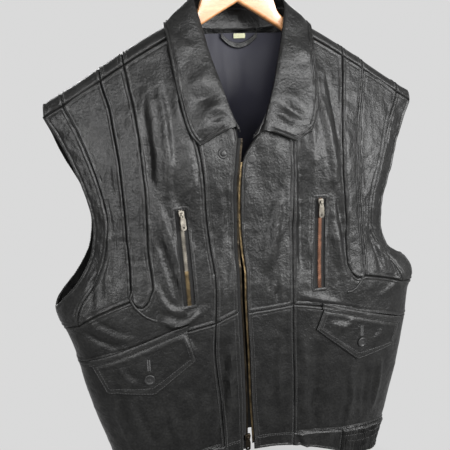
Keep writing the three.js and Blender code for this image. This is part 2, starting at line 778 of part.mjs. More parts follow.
// A strip on the surface along a line of [outward x, z] places, between two distances to its sides
function ribbon(side, line, near, far, outer, inner, steps = 12) {
  const across = Math.max(1, Math.round((far - near) / 8));
  const rows = Array.from({ length: steps + 1 }, (_, k) => {
    const [x, z] = line(k / steps);
    return Array.from({ length: across + 1 }, (__, j) =>
      nodeAt(side, "front", x + lerp(near, far, j / across), z),
    );
  });
  return wall(rows, outer, inner, undefined, 0);
}

function pullTab(length, width) {
  const shape = new THREE.Shape();
  shape.moveTo(-width * 0.3, 0);
  shape.lineTo(-width / 2, -length * 0.35);
  shape.lineTo(-width / 2, -length + 2);
  shape.lineTo(-width / 2 + 2, -length);
  shape.lineTo(width / 2 - 2, -length);
  shape.lineTo(width / 2, -length + 2);
  shape.lineTo(width / 2, -length * 0.35);
  shape.lineTo(width * 0.3, 0);
  for (const [y, r] of [[-2.2, 0.9], [-length + 4, 1.3]]) {
    const hole = new THREE.Path();
    hole.absarc(0, y, r, 0, 2 * Math.PI, true);
    shape.holes.push(hole);
  }
  return new THREE.ExtrudeGeometry(shape, { depth: 1.2, bevelEnabled: false, curveSegments: 4 });
}

function sliderBody(width, length, height) {
  const shape = new THREE.Shape();
  shape.moveTo(-width * 0.35, -length / 2);
  shape.lineTo(width * 0.35, -length / 2);
  shape.lineTo(width / 2, length / 2);
  shape.lineTo(-width / 2, length / 2);
  return new THREE.ExtrudeGeometry(shape, {
    depth: height - 0.6,
    bevelThickness: 0.3,
    bevelSize: 0.3,
    bevelSegments: 1,
  }).translate(0, 0, 0.3);
}

const TAB = { length: 21, width: 8, drop: 1, lift: 4.2 };

function addChestZip(side) {
  const { top, bottom } = CHEST_ZIPS[side];
  const extended = (f, by) => {
    const length = Math.hypot(top[0] - bottom[0], top[1] - bottom[1]);
    const g = -by / length + f * (1 + (2 * by) / length);
    return [lerp(top[0], bottom[0], g), lerp(top[1], bottom[1], g)];
  };
  const half = ZIP_WINDOW.width / 2 + 5;
  const tapeFront = TAPE_BACK + 1;
  const tapeLine = (f) => extended(f, 5);
  add(`zip_tape_${side}`, ribbon(side, tapeLine, -half, half, tapeFront, TAPE_BACK), tape);
  const chainFoot = tapeFront + 1.2;
  const chainTop = chainFoot + 1.6;
  const chain = (f) => extended(f, -1);
  const chainHalf = CHAIN_WIDTH / 2;
  add(`zip_chain_${side}`, ribbon(side, chain, -chainHalf, chainHalf, chainTop, chainFoot), brass);
  const spot = nodeAt(side, "front", ...extended(0.055, 0));
  add(`zip_slider_${side}`, standing(sliderBody(9, 10, 3.4), spot, chainTop + 0.4), steel);
  const tab = pullTab(TAB.length, TAB.width).translate(0, -TAB.drop, 0);
  add(`zip_pull_${side}`, standing(tab, spot, chainTop + TAB.lift), steel);
}

// The front zip is open: a row of teeth on each edge, its slider at the foot of the left row
const FRONT_ZIP = { L: { start: -312, end: -764 }, R: { start: -345, end: -776 } };
const FRONT_SLIDER = { inset: 7.5, below: 6, lift: -7 };

function addFrontZip() {
  const steps = 18;
  for (const side of ["L", "R"]) {
    const { start, end } = FRONT_ZIP[side];
    const line = (f) => {
      const z = lerp(start, end, f);
      return [seamX(side, "edge", z), z];
    };
    const under = -LEATHER - 2 * LAYER_GAP;
    add(`front_tape_${side}`, ribbon(side, line, 0.6, 14, under, under - 1, steps), tape);
    const teeth = ribbon(side, line, -FRONT_TEETH_WIDTH, -0.6, under + 1.6, under - 1.2, steps);
    add(`front_teeth_${side}`, teeth, brass);
  }
  const z = FRONT_ZIP.L.end - FRONT_SLIDER.below;
  const spot = nodeAt("L", "front", seamX("L", "edge", z) - FRONT_SLIDER.inset, z);
  const height = 4;
  add("front_slider", standing(sliderBody(9, 11, height), spot, FRONT_SLIDER.lift), brass);
  const tab = pullTab(TAB.length, TAB.width).translate(0, -TAB.drop, 0);
  add("front_pull", standing(tab, spot, FRONT_SLIDER.lift + height + LAYER_GAP), brass);
}

function addSnaps() {
  const stud = [
    [0, 0],
    [SNAP_RADIUS, 0],
    [SNAP_RADIUS, 1.2],
    [SNAP_RADIUS - 2.5, 1.6],
    [SNAP_RADIUS - 3.5, 3.2],
    [0, 3.2],
  ];
  const cap = [
    [0, 0],
    [SNAP_RADIUS - 1, 0],
    [SNAP_RADIUS - 1.5, 1.2],
    [0, 1.8],
  ];
  add("snap_stud", turned(stud, nodeAt("L", "front", 43, -331), 0.4), plastic);
  add("snap_cap", turned(cap, nodeAt("R", "front", -2, -341), 0.4), plastic);
}

// Collar

function collarRows(side) {
  return COLLAR[side].map((row) => {
    const at = Object.fromEntries(COLLAR_NAMES.map((name, k) => [name, row[k]]));
    const point = (name) =>
      new THREE.Vector3(SIGN[side] * at[name + "X"], at[name + "Y"], at[name + "Z"]);
    return { neck: point("neck"), fold: point("fold"), edge: point("edge") };
  });
}

// Stations from the left front end round the back to the right front end
function collarStations() {
  const left = collarRows("L").reverse();
  const stations = [...left, ...collarRows("R").slice(1)];
  const knots = stations.map((_, k) => k);
  const through = (name, u) => {
    const part = (axis) => curve(knots, stations.map((s) => s[name][axis]), u);
    return new THREE.Vector3(part("x"), part("y"), part("z"));
  };
  const count = (stations.length - 1) * COLLAR_STEPS;
  return Array.from({ length: count + 1 }, (_, k) => {
    const u = k / COLLAR_STEPS;
    return { neck: through("neck", u), fold: through("fold", u), edge: through("edge", u) };
  });
}

function withNormals(points, away) {
  return points.map((row, i) =>
    row.map((p, j) => {
      const across = row[Math.min(j + 1, row.length - 1)].clone().sub(row[Math.max(j - 1, 0)]);
      const i0 = Math.max(i - 1, 0);
      const i1 = Math.min(i + 1, points.length - 1);
      const n = points[i1][j].clone().sub(points[i0][j]).cross(across).normalize();
      return { p, n: n.dot(away(i, j)) < 0 ? n.negate() : n };
    }),
  );
}

function addCollar() {
  const stations = collarStations();
  const outwards = stations.map(({ fold, edge }) => {
    const away = edge.clone().sub(fold);
    return new THREE.Vector3(away.x * 0.3, fold.y > 10 ? 30 : -30, 18).normalize();
  });
  const leaf = stations.map(({ fold, edge }, k) =>
    Array.from({ length: LEAF_STEPS + 1 }, (_, j) => {
      const f = j / LEAF_STEPS;
      const crown = COLLAR_BULGE * Math.sin(Math.PI * Math.sqrt(f));
      return fold.clone().lerp(edge, f).addScaledVector(outwards[k], crown);
    }),
  );
  const collarWall = (points) =>
    wall(withNormals(points, (i) => outwards[i]), 0, -LEATHER, undefined, 0);
  add("collar_leaf", collarWall(leaf), leather);
  const stand = stations.map(({ neck, fold }, k) =>
    Array.from({ length: STAND_STEPS + 1 }, (_, j) => {
      const f = 0.04 + (0.62 * j) / STAND_STEPS;
      return neck.clone().lerp(fold, f).addScaledVector(outwards[k], -LEATHER * 0.5);
    }),
  );
  add("collar_stand", collarWall(stand), leather);
}

// Hanging loop and bare size label inside the back neck
const LOOP = { x: 8, z: -167, reach: 28, dip: 15, width: 8, lift: 0.3 };
const LABEL = { x: 10, z: -172, width: 18, height: 7, thickness: 0.8, lift: 1.8 };

function addNeckTrim() {
  const inside = -LEATHER - LINING_GAP - SATIN;
  const spot = (x, z) => nodeAt(x < 0 ? "L" : "R", "back", Math.abs(x), z);
  const loop = [];
  for (let k = 0; k <= 10; k += 1) {
    const f = k / 5 - 1;
    const x = LOOP.x + LOOP.reach * f;
    const z = LOOP.z - LOOP.dip * (1 - f * f);
    loop.push([spot(x, z), spot(x, z - LOOP.width)]);
  }
  const near = inside - LABEL.lift - LABEL.thickness - LOOP.lift;
  add("hanging_loop", wall(loop, near, near - 1.5, undefined, 0), leather);
  const label = [0.5, 0, -0.5].map((up) =>
    [-0.5, 0, 0.5].map((out) => spot(LABEL.x + out * LABEL.width, LABEL.z + up * LABEL.height)),
  );
  const top = inside - LABEL.lift;
  add("size_label", wall(label, top, top - LABEL.thickness, undefined, 0), paper);
}

// Hanger

// A closed tube through rings of points with the same count
function loft(rings) {
  const count = rings[0].length;
  const last = rings.length - 1;
  const points = [...rings.flat(), mean(rings[0]), mean(rings[last])];
  const faces = [];
  for (let k = 0; k < count; k += 1) {
    const next = (k + 1) % count;
    for (let i = 0; i < last; i += 1) {
      const near = i * count;
      const far = near + count;
      faces.push([near + k, near + next, far + next], [near + k, far + next, far + k]);
    }
    faces.push([points.length - 2, next, k], [points.length - 1, last * count + k, last * count + next]);
  }
  return meshOf(points, faces);
}

// Rounded upright section of the wooden bar
function barSection(x, top, under) {
  const half = HANGER.thickness / 2;
  const round = Math.min(HANGER.edgeRound, (top - under) / 2 - 0.2);
  const ring = [];
  for (const [sy, sz, start] of [[1, 1, 0], [-1, 1, 1], [-1, -1, 2], [1, -1, 3]]) {
    for (let k = 0; k <= 2; k += 1) {
      const angle = (start + k / 2) * HALF_TURN;
      const y = sy * (half - round) + round * Math.cos(angle);
      const z = (sz > 0 ? top - round : under + round) + round * Math.sin(angle);
      ring.push(new THREE.Vector3(x, y, z));
    }
  }
  return ring;
}

function addHanger() {
  const left = HANGER_EDGES.slice(1).reverse().map(([x, ...edges]) => [-x, ...edges]);
  const bar = loft([...left, ...HANGER_EDGES].map(([x, top, under]) => barSection(x, top, under)));
  add("hanger_bar", bar, wood);

  const r = HANGER.hookInner + HANGER.wireRadius;
  const middle = -HANGER.hookInner;
  const path = new THREE.CurvePath();
  const foot = HANGER_EDGES[0][1] + LAYER_GAP;
  const straight = [foot, middle - r].map((z) => new THREE.Vector3(0, 0, z));
  path.add(new THREE.LineCurve3(...straight));
  const arc = [];
  for (let k = 0; k <= 20; k += 1) {
    const angle = -HALF_TURN + (k / 20) * (Math.PI * 1.62);
    arc.push(new THREE.Vector3(r * Math.cos(angle), 0, middle + r * Math.sin(angle)));
  }
  path.add(new THREE.CatmullRomCurve3(arc));
  const wire = new THREE.Shape();
  wire.absarc(0, 0, HANGER.wireRadius, 0, 2 * Math.PI);
  const sweep = { steps: 30, extrudePath: path, curveSegments: 4, bevelEnabled: false };
  add("hanger_hook", new THREE.ExtrudeGeometry(wire, sweep), steel);
}

addHanger();
addFront("L");
addFront("R");
addBack();
addElastic("L");
addElastic("R");
addLining();
addFlap("L");
addFlap("R");
addChestZip("L");
addChestZip("R");
addFrontZip();
addSnaps();
addCollar();
addNeckTrim();

export default root;
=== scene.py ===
"""Black leather vest on a wooden hanger: the pieces that show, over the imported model.

Tables and functions work in millimetres and share their numbers with the part's source.
Side L is the viewer's left (-X), side R the viewer's right (+X); the front faces -Y.
"""

from math import cos, pi, radians, sin

import bpy
import numpy as np
from mathutils import Matrix
from mathutils.kdtree import KDTree


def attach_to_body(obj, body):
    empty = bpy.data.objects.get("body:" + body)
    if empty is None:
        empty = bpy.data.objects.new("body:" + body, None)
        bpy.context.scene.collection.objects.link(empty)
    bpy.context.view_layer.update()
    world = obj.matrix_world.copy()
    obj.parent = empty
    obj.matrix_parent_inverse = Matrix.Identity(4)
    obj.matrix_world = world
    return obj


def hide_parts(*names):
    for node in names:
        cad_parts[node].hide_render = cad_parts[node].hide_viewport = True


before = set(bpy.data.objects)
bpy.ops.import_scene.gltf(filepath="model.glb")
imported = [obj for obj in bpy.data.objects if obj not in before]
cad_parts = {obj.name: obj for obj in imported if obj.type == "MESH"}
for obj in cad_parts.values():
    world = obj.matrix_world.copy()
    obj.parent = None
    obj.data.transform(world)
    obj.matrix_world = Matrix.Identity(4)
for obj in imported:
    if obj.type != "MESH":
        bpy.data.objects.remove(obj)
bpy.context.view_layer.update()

MM = 0.001
QUARTER_TURN = pi / 2
SIGN = {"L": -1, "R": 1}

# Driving sizes, as in the part's source
LEATHER = 2
SATIN = 1
CROWN_GAP = 0.7  # between a panel and the flap that lies on it
LINING_GAP = 2.3
SIDE_SEAM_Y = -6
ROLL_RADIUS = 11  # of the cloth over the shoulder line
SIDE_ROLL = 0.35  # share of that radius that is left at the side
HANG_DROP = 220  # this far below the shoulder line the body has its full depth
YOKE_DROP = 16  # from the shoulder line to the front shoulder seam
BACK_NECK_Z = -168
BACK_NECK_BULGE = 17
BACK_NECK_SPREAD = 70
STRIP_LIFT = 0.8  # strips and waistband stand this proud of the panels

# Height of the shoulder line at each distance from the middle
RIDGE = np.array(
    [[0, -136], [60, -147], [106, -163], [165, -195], [225, -231], [280, -263], [300, -274]], float
)


def curve(knots, values, u):
    """Smooth curve through rising knots, level beyond its ends."""
    knots = np.asarray(knots, float)
    values = np.asarray(values, float)
    u = np.clip(u, knots[0], knots[-1])
    last = len(knots) - 1
    i = np.clip(np.searchsorted(knots, u) - 1, 0, last - 1)
    ahead = np.minimum(np.arange(last + 1) + 1, last)
    behind = np.maximum(np.arange(last + 1) - 1, 0)
    slope = (values[ahead] - values[behind]) / (knots[ahead] - knots[behind])
    h = knots[i + 1] - knots[i]
    t = (u - knots[i]) / h
    t2 = t * t
    t3 = t2 * t
    return (
        (2 * t3 - 3 * t2 + 1) * values[i]
        + (t3 - 2 * t2 + t) * h * slope[i]
        + (3 * t2 - 2 * t3) * values[i + 1]
        + (t3 - t2) * h * slope[i + 1]
    )


def table(names, rows):
    """A table whose first column is a falling height, as a function of height and column name."""
    rows = np.array(rows, float)
    return lambda z, name: curve(-rows[:, 0], rows[:, names.index(name)], -np.asarray(z, float))


# Ring of the body at each height: half-widths, front and back depth, squareness
BODY = table(
    ["z", "L", "R", "front", "back", "square"],
    [
        [-150, 300, 300, 50, 34, 2.6],
        [-265, 287, 287, 55, 40, 2.7],
        [-335, 260, 260, 57, 44, 2.7],
        [-415, 238, 234, 60, 49, 2.8],
        [-445, 238, 230, 62, 51, 2.9],
        [-470, 245, 231, 64, 52, 2.9],
        [-500, 263, 246, 66, 54, 2.9],
        [-540, 285, 280, 70, 56, 3.0],
        [-575, 274, 274, 75, 58, 3.2],
        [-613, 264, 271, 78, 59, 3.3],
        [-670, 255, 262, 80, 60, 3.4],
        [-740, 238, 250, 79, 56, 3.3],
        [-800, 222, 240, 74, 51, 3.2],
        [-865, 206, 224, 70, 48, 3.2],
    ],
)

# Distance of each lengthwise seam from the middle, at each height
SEAM_NAMES = ["z", "edge", "princess", "stripIn", "stripOut", "band", "arm"]
SEAMS = {
    "L": table(
        SEAM_NAMES,
        [
            [-165, 90, 103, 170, 205, 266, 284],
            [-235, 60, 93, 162, 196, 258, 281],
            [-265, 44, 87, 158, 189, 246, 279],
            [-300, 22, 81, 155, 186, 231, 261],
            [-335, 24, 75, 153, 183, 220, 246],
            [-370, 29, 72, 152, 182, 211, 234],
            [-415, 30, 71, 153, 181, 204, 225],
            [-445, 31, 69, 154, 181, 207, 227],
            [-470, 32, 67, 154, 180, 213, 234],
            [-500, 32, 64, 152, 181, 227, 252],
            [-540, 33, 64, 154, 182, 252, 285],
            [-575, 32, 67, 154, 184, 252, 285],
            [-620, 31, 69, 152, 183, 240, 285],
            [-700, 30, 64, 148, 175, 220, 285],
            [-780, 30, 60, 142, 167, 200, 285],
            [-865, 30, 56, 136, 160, 190, 285],
        ],
    ),
    "R": table(
        SEAM_NAMES,
        [
            [-165, 84, 97, 160, 194, 262, 283],
            [-235, 58, 84, 151, 187, 256, 281],
            [-265, 41, 78, 147, 180, 246, 279],
            [-300, 15, 65, 142, 173, 229, 262],
            [-335, -12, 60, 139, 168, 217, 247],
            [-370, -19, 60, 139, 167, 206, 237],
            [-415, -21, 57, 141, 169, 193, 220],
            [-445, -21, 55, 143, 170, 190, 215],
            [-470, -20, 55, 142, 171, 195, 217],
            [-500, -18, 53, 142, 173, 211, 232],
            [-535, -19, 52, 144, 171, 236, 285],
            [-575, -19, 51, 142, 173, 246, 285],
            [-620, -18, 51, 142, 174, 240, 285],
            [-700, -17, 52, 142, 170, 225, 285],
            [-780, -13, 52, 140, 165, 210, 285],
            [-865, -10, 52, 136, 160, 198, 285],
        ],
    ),
}

# Height of each crosswise seam where it meets each lengthwise one
COLUMNS = ["edge", "princess", "stripIn", "strip1", "strip2", "strip3", "stripOut", "band", "arm"]
ACROSS_STRIP = {"strip1": 0.2, "strip2": 0.5, "strip3": 0.8}
ROWS = ["yoke", "pit", "stripEnd", "waist", "waistband", "hem"]
CROSS = {
    "L": {
        "pit": [-450, -465, -490, -493, -498, -501, -503, -532, -543],
        "stripEnd": [-480, -495, -512, -529, -537, -534, -526, -558, -568],
        "waist": [-558, -571, -587, -589, -592, -595, -597, -614, -622],
        "waistband": [-770, -775, -787, -788, -790, -792, -793, -803, -812],
        "hem": [-800, -806, -830, -832, -835, -838, -840, -850, -858],
    },
    "R": {
        "pit": [-450, -465, -490, -492, -496, -499, -500, -522, -532],
        "stripEnd": [-500, -508, -508, -524, -532, -533, -531, -553, -563],
        "waist": [-561, -558, -580, -582, -586, -589, -591, -613, -620],
        "waistband": [-768, -776, -791, -791, -791, -792, -793, -800, -815],
        "hem": [-791, -800, -835, -838, -842, -845, -847, -856, -864],
    },
}
BACK_RISE = {"pit": 45, "stripEnd": 38, "waist": 34, "waistband": 24, "hem": 22}  # towards the back's middle
BACK_SEAM_END = {"edge": 52, "princess": 88}  # where these seams would meet the hem
BACK_END_Z = -865
BACK_ARM_SPREAD = {"z": -325, "reach": 42, "by": 7}  # the back's armhole edge shows past the front's
SIDE_SNAP = 4e-4  # borders this close to the side seam lie on it, so front and back share one line

# Large folds, as in the part's source
FOLD_NAMES = ["face", "side", "x0", "z0", "x1", "z1", "width", "rise"]
FOLDS = [
    ["front", "L", 128, -215, 118, -390, 22, 4],
    ["front", "L", 146, -300, 142, -420, 16, -4],
    ["front", "L", 142, -380, 92, -545, 18, 4],
    ["front", "L", 120, -345, 78, -480, 14, -4],
    ["front", "L", 138, -560, 90, -552, 16, 5],
    ["front", "L", 66, -590, 88, -790, 22, -6],
    ["front", "R", 78, -330, 66, -560, 20, -4],
    ["front", "R", 104, -260, 118, -390, 22, 4],
    ["front", "R", 122, -440, 128, -520, 16, 4],
    ["front", "R", 30, -430, 18, -500, 20, 4],
    ["front", "R", 92, -620, 84, -770, 22, -5],
    ["back", "L", 60, -230, 110, -470, 34, -5],
    ["back", "R", 50, -260, 96, -500, 36, -5],
    ["back", "L", 20, -560, 30, -780, 40, 5],
    ["back", "R", 110, -540, 96, -760, 34, -5],
]

# Creases by face and side: width and rise of the crest, then the places [outward x, z] it runs through
CREASES = {
    ("front", "L"): [
        # left chest: from the shoulder seam down, then slanting under the chest zip
        [7, 1.6, [128, -222], [121, -270], [119, -330], [124, -380]],
        [6, -1.6, [146, -262], [142, -320], [144, -372]],
        [6, 1.3, [138, -236], [133, -282], [135, -318]],
        [7, 1.8, [147, -368], [134, -420], [121, -478], [108, -532]],
        [5, -1.2, [141, -392], [127, -446], [117, -500]],
        [6, 1.4, [148, -430], [138, -478], [126, -530]],
        [5, 1.2, [150, -500], [140, -530], [122, -556]],
        [6, 2.0, [147, -556], [126, -566], [104, -560], [82, -548]],
        [5, -1.4, [140, -546], [120, -555], [98, -550]],
        [5, 1.0, [92, -318], [86, -360], [88, -396]],
        [5, 0.9, [96, -222], [101, -262], [96, -300]],
        # left centre panel
        [5, 1.2, [52, -372], [46, -420], [52, -470]],
        [5, -1.0, [40, -480], [48, -520], [42, -552]],
        [6, -2.2, [52, -590], [58, -660], [64, -730], [74, -800]],
        [5, 1.4, [46, -600], [49, -660], [46, -726]],
        # left side
        [5, 1.4, [206, -470], [212, -500], [216, -540]],
        [5, -1.4, [222, -470], [232, -505], [236, -545]],
        [5, 1.3, [250, -536], [232, -560], [206, -576], [186, -582]],
        [5, -1.2, [256, -560], [232, -580], [204, -592]],
        [5, 1.1, [212, -392], [204, -440], [206, -480]],
        # left lower panel
        [7, 1.6, [196, -676], [186, -720], [170, -768]],
        [6, -1.4, [150, -680], [144, -730], [132, -776]],
        [6, 1.2, [112, -676], [106, -720], [108, -770]],
        [6, 1.2, [222, -640], [214, -700], [196, -766]],
        [6, 1.5, [120, -582], [109, -597], [101, -616]],
        [5, 1.0, [206, -622], [196, -640], [178, -652]],
    ],
    ("front", "R"): [
        # right chest
        [7, -1.9, [74, -270], [70, -350], [70, -430], [66, -520]],
        [6, 1.5, [88, -236], [92, -300], [90, -360]],
        [7, 1.9, [102, -214], [112, -282], [122, -346], [126, -392]],
        [6, -1.4, [122, -230], [130, -290], [134, -340]],
        [7, 1.7, [118, -420], [124, -460], [132, -506], [140, -536]],
        [5, -1.2, [128, -400], [134, -440], [138, -486]],
        [5, 1.0, [84, -400], [80, -450], [84, -500]],
        [6, 1.4, [60, -544], [84, -552], [112, -562], [134, -568]],
        # right centre panel: folds to the waist seam and gathers above it
        [6, 2.0, [40, -398], [30, -440], [22, -480], [14, -500]],
        [5, -1.4, [24, -410], [12, -450], [4, -486]],
        [5, 1.4, [2, -478], [-4, -508], [-6, -540]],
        [4, 0.8, [22, -520], [20, -538], [22, -556]],
        [4, 0.8, [34, -514], [33, -536], [36, -556]],
        [4, -0.6, [28, -516], [27, -538], [29, -556]],
        [5, 1.1, [8, -512], [12, -536], [10, -558]],
        [5, 1.2, [34, -600], [26, -660], [30, -730]],
        # right side
        [5, 1.5, [192, -462], [202, -496], [212, -530]],
        [5, -1.4, [206, -470], [220, -500], [232, -534]],
        [6, 0.8, [246, -534], [226, -556], [202, -570]],
        # right lower panel
        [7, 1.7, [64, -600], [70, -660], [66, -720], [74, -780]],
        [6, -1.6, [92, -690], [86, -730], [92, -780]],
        [6, 1.3, [148, -680], [152, -726], [146, -776]],
        [6, 1.3, [206, -664], [204, -716], [196, -770]],
        [6, -1.2, [180, -680], [176, -730], [178, -780]],
        [7, 1.0, [152, -599], [134, -605], [112, -598]],
        [6, 0.7, [206, -612], [200, -628], [186, -640]],
        [5, 1.8, [60, -766], [69, -790], [82, -824]],
        # right placket: puckers over the hidden snaps
        [2.6, 0.9, [-9, -731], [2, -729], [13, -732]],
        [2.6, 0.9, [-8, -738], [3, -737], [14, -739]],
        [2.4, 0.8, [-8, -745], [2, -744], [11, -745]],
        [2.6, 0.8, [-8, -765], [2, -763], [12, -766]],
        [2.6, 0.9, [-8, -773], [3, -771], [14, -774]],
    ],
    ("back", "L"): [
        # back: from the strips to the waist, and over the hem
        [9, 1.8, [40, -220], [70, -300], [104, -390], [130, -470]],
        [8, -1.6, [14, -240], [34, -330], [60, -420]],
        [8, 1.6, [88, -520], [96, -600], [84, -690]],
        [7, 1.4, [30, -640], [22, -710], [28, -770]],
        [7, 1.6, [196, -500], [210, -560], [204, -620]],
        [7, -1.4, [230, -540], [222, -620], [206, -700]],
        [7, 1.4, [200, -660], [192, -730], [184, -790]],
    ],
    ("back", "R"): [
        # back: from the strips to the waist, and over the hem
        [9, 1.6, [28, -210], [52, -300], [92, -380], [122, -460]],
        [8, -1.5, [70, -260], [80, -350], [70, -440]],
        [8, 1.6, [34, -500], [28, -590], [40, -680]],
        [7, 1.5, [100, -600], [110, -690], [98, -770]],
        [7, 1.5, [190, -490], [206, -550], [210, -620]],
        [7, -1.4, [222, -520], [226, -600], [216, -690]],
        [7, 1.4, [204, -650], [198, -720], [190, -790]],
    ],
}

FLAPS = {
    "L": {
        "welt": {"outer": [246, -611], "inner": [107, -565]},
        "outer": [225, -660],
        "corner": [160, -667],
        "inner": [99, -622],
        "button": [166, -641],
        "hole": [166, -619],
    },
    "R": {
        "welt": {"outer": [243, -612], "inner": [98, -563]},
        "outer": [226, -655],
        "corner": [158, -664],
        "inner": [88, -603],
        "button": [164, -635],
        "hole": [164, -616],
    },
}
WELT_WIDTH = 10
BUTTON_RADIUS = 8
SNAP_RADIUS = 7.5

ZIP_WINDOW_WIDTH = 19
CHAIN_WIDTH = 5.5
CHEST_ZIPS = {
    "L": {"top": [106, -404], "bottom": [102.5, -541]},
    "R": {"top": [101, -404], "bottom": [95, -540]},
}
FRONT_ZIP = {"L": {"start": -312, "end": -764}, "R": {"start": -345, "end": -776}}

# Collar: neck seam, fold and outer edge at each place from the back middle to the front end
COLLAR = {
    "L": [
        [0, 36, -163, 0, 44, -114, 0, 60, -186],
        [42, 34, -162, 36, 39, -115, 46, 56, -185],
        [74, 19, -158, 60, 22, -119, 84, 42, -174],
        [86, 1, -149, 61, 0, -129, 105, 2, -157],
        [83, -14, -172, 54, -16, -166, 106, -22, -175],
        [71.5, -27, -203, 48, -31, -201, 104, -35, -206],
        [56.5, -40, -236, 40, -45, -233, 99, -48, -251],
        [38, -50, -270, 32, -57, -265, 90, -60, -298],
        [18, -59, -304, 22, -64, -296, 76, -65, -319],
    ],
    "R": [
        [0, 36, -163, 0, 44, -114, 0, 60, -186],
        [42, 34, -162, 38, 39, -115, 46, 56, -185],
        [72, 19, -158, 62, 22, -119, 84, 42, -174],
        [82, 1, -148, 68, 0, -133, 107, 2, -158],
        [77, -15, -174, 58, -19, -174, 105, -25, -182],
        [66, -28, -207, 46, -34, -210, 104, -38, -214],
        [51, -41, -242, 35, -47, -243, 102, -52, -262],
        [30, -53, -277, 22, -59, -275, 92, -61, -302],
        [1, -61, -313, 13, -65, -304, 62, -67, -320],
    ],
}
COLLAR_BULGE = 5

HANGER_THICKNESS = 12
HANGER_EDGE_ROUND = 4
HOOK_INNER = 20
HOOK_WIRE = 2
HANGER_EDGES = [
    [0, -92, -130],
    [28, -98, -145.5],
    [46, -114, -156],
    [53, -129, -160],
    [57, -140, -162],
    [66, -149.5, -168],
    [80, -159.5, -176],
    [106, -168, -190],
    [135, -182.5, -205],
    [165, -199.5, -219.5],
    [195, -217.5, -234],
    [214, -230, -242.5],
    [221, -236, -240],
]

# Sampling of the leather
STEP = 4
EDGE_LINES = [0.01, 0.7, 1.6, 2.6, 3.6, 4.8, 5.8, 7.2, 9.5]  # fine lines beside every border
NEAR_SHARE = 2.3  # a piece narrower than this many times a fine line's distance goes without it
STITCH_ROWS = (1.6, 5.4)  # distances of the two rows of a double-stitched seam
SINGLE_ROW = 2.2


# Vector helpers


def unit(v):
    return v / np.maximum(np.linalg.norm(v, axis=-1, keepdims=True), 1e-9)


def mix(a, b, f):
    return a + (b - a) * f


def run_of(line):
    """Distance along a line to each of its points."""
    return np.concatenate([[0], np.cumsum(np.linalg.norm(np.diff(line, axis=0), axis=1))])


def on_run(line, run, spots):
    """Points of a line at distances along it."""
    return np.stack([np.interp(spots, run, line[:, k]) for k in range(line.shape[1])], 1)


def circle(count):
    return 2 * pi * np.arange(count) / count


def nearest(spots, value):
    """Index of the spot nearest to a value."""
    return int(np.argmin(np.abs(spots - value)))


NOISE_SIZE = 64


def noise(x, z, cell, seed):
    """Smooth noise from -1 to 1 whose bumps are about a cell across."""
    values = np.random.default_rng(seed).uniform(-1, 1, (NOISE_SIZE, NOISE_SIZE))
    i = np.floor(x / cell).astype(int)
    j = np.floor(z / cell).astype(int)
    u = x / cell - i
    v = z / cell - j
    u = u * u * (3 - 2 * u)
    v = v * v * (3 - 2 * v)
    i, next_i, j, next_j = (k % NOISE_SIZE for k in (i, i + 1, j, j + 1))
    return mix(mix(values[i, j], values[next_i, j], u), mix(values[i, next_j], values[next_i, next_j], u), v)


# The body's surface


def ridge_height(x):
    return curve(RIDGE[:, 0], RIDGE[:, 1], np.abs(x))


def angle_at(side, x, z):
    """Angle round the ring for a distance from the middle."""
    share = np.minimum(np.abs(x) / BODY(z, side), 1)
    return np.sign(x) * np.arcsin(share ** (BODY(z, "square") / 2))


def reaches(face, side, fold_face, fold_side):
    """Folds of the back run on over its middle; each front keeps its own."""
    return face == fold_face and (face == "back" or side == fold_side)


FOLD_SHARPNESS = 3


def fold_rise(face, side, x, z):
    rise = 0
    for row in FOLDS:
        fold = dict(zip(FOLD_NAMES, row))
        if not reaches(face, side, fold["face"], fold["side"]):
            continue
        here = x if fold["side"] == side else -x
        dx = fold["x1"] - fold["x0"]
        dz = fold["z1"] - fold["z0"]
        along = ((here - fold["x0"]) * dx + (z - fold["z0"]) * dz) / (dx * dx + dz * dz)
        across = ((here - fold["x0"]) * dz - (z - fold["z0"]) * dx) / np.hypot(dx, dz)
        swell = np.sin(pi * np.clip(along, 0, 1))
        rise = rise + fold["rise"] * swell * np.exp(-FOLD_SHARPNESS * (across / fold["width"]) ** 2)
    return rise


def surface(side, face, angle, z):
    power = 2 / BODY(z, "square")
    outward = np.sign(angle) * BODY(z, side) * np.abs(np.sin(angle)) ** power
    fullness = np.abs(np.cos(angle)) ** power
    drop = np.maximum(ridge_height(outward) - z, 0)
    bend = np.sqrt(1 - (1 - np.minimum(drop / ROLL_RADIUS, 1)) ** 2)
    fall = np.sin(QUARTER_TURN * np.minimum(drop / HANG_DROP, 1))
    start = ROLL_RADIUS * np.minimum(1, SIDE_ROLL + fullness)
    depth = start * bend + (BODY(z, face) * fullness - start) * fall
    depth = depth + fold_rise(face, side, outward, z) * fullness
    if face == "back":
        away = ((z - BACK_NECK_Z) / BACK_NECK_SPREAD) ** 2 + (outward / BACK_NECK_SPREAD) ** 2
        depth = depth + BACK_NECK_BULGE * np.exp(-away)
    y = SIDE_SEAM_Y * fall + (-depth if face == "front" else depth)
    return np.stack([SIGN[side] * outward, y, z], -1)


ANGLE_STEP = 0.01  # differences over which the normals are measured
HEIGHT_STEP = 1.0
AT_SIDE = 1e-4


def nodes(side, face, angle, z):
    """Surface points with their outward normals."""
    angle, z = np.broadcast_arrays(np.asarray(angle, float), np.asarray(z, float))
    across = surface(side, face, np.minimum(angle + ANGLE_STEP, QUARTER_TURN), z)
    across = across - surface(side, face, angle - ANGLE_STEP, z)
    up = surface(side, face, angle, z + HEIGHT_STEP) - surface(side, face, angle, z - HEIGHT_STEP)
    facing = SIGN[side] if face == "front" else -SIGN[side]
    normal = unit(np.cross(across, up)) * facing
    at_side = (angle > QUARTER_TURN - AT_SIDE)[..., None]
    normal = np.where(at_side, np.array([SIGN[side], 0.0, 0.0]), normal)
    return surface(side, face, angle, z), normal


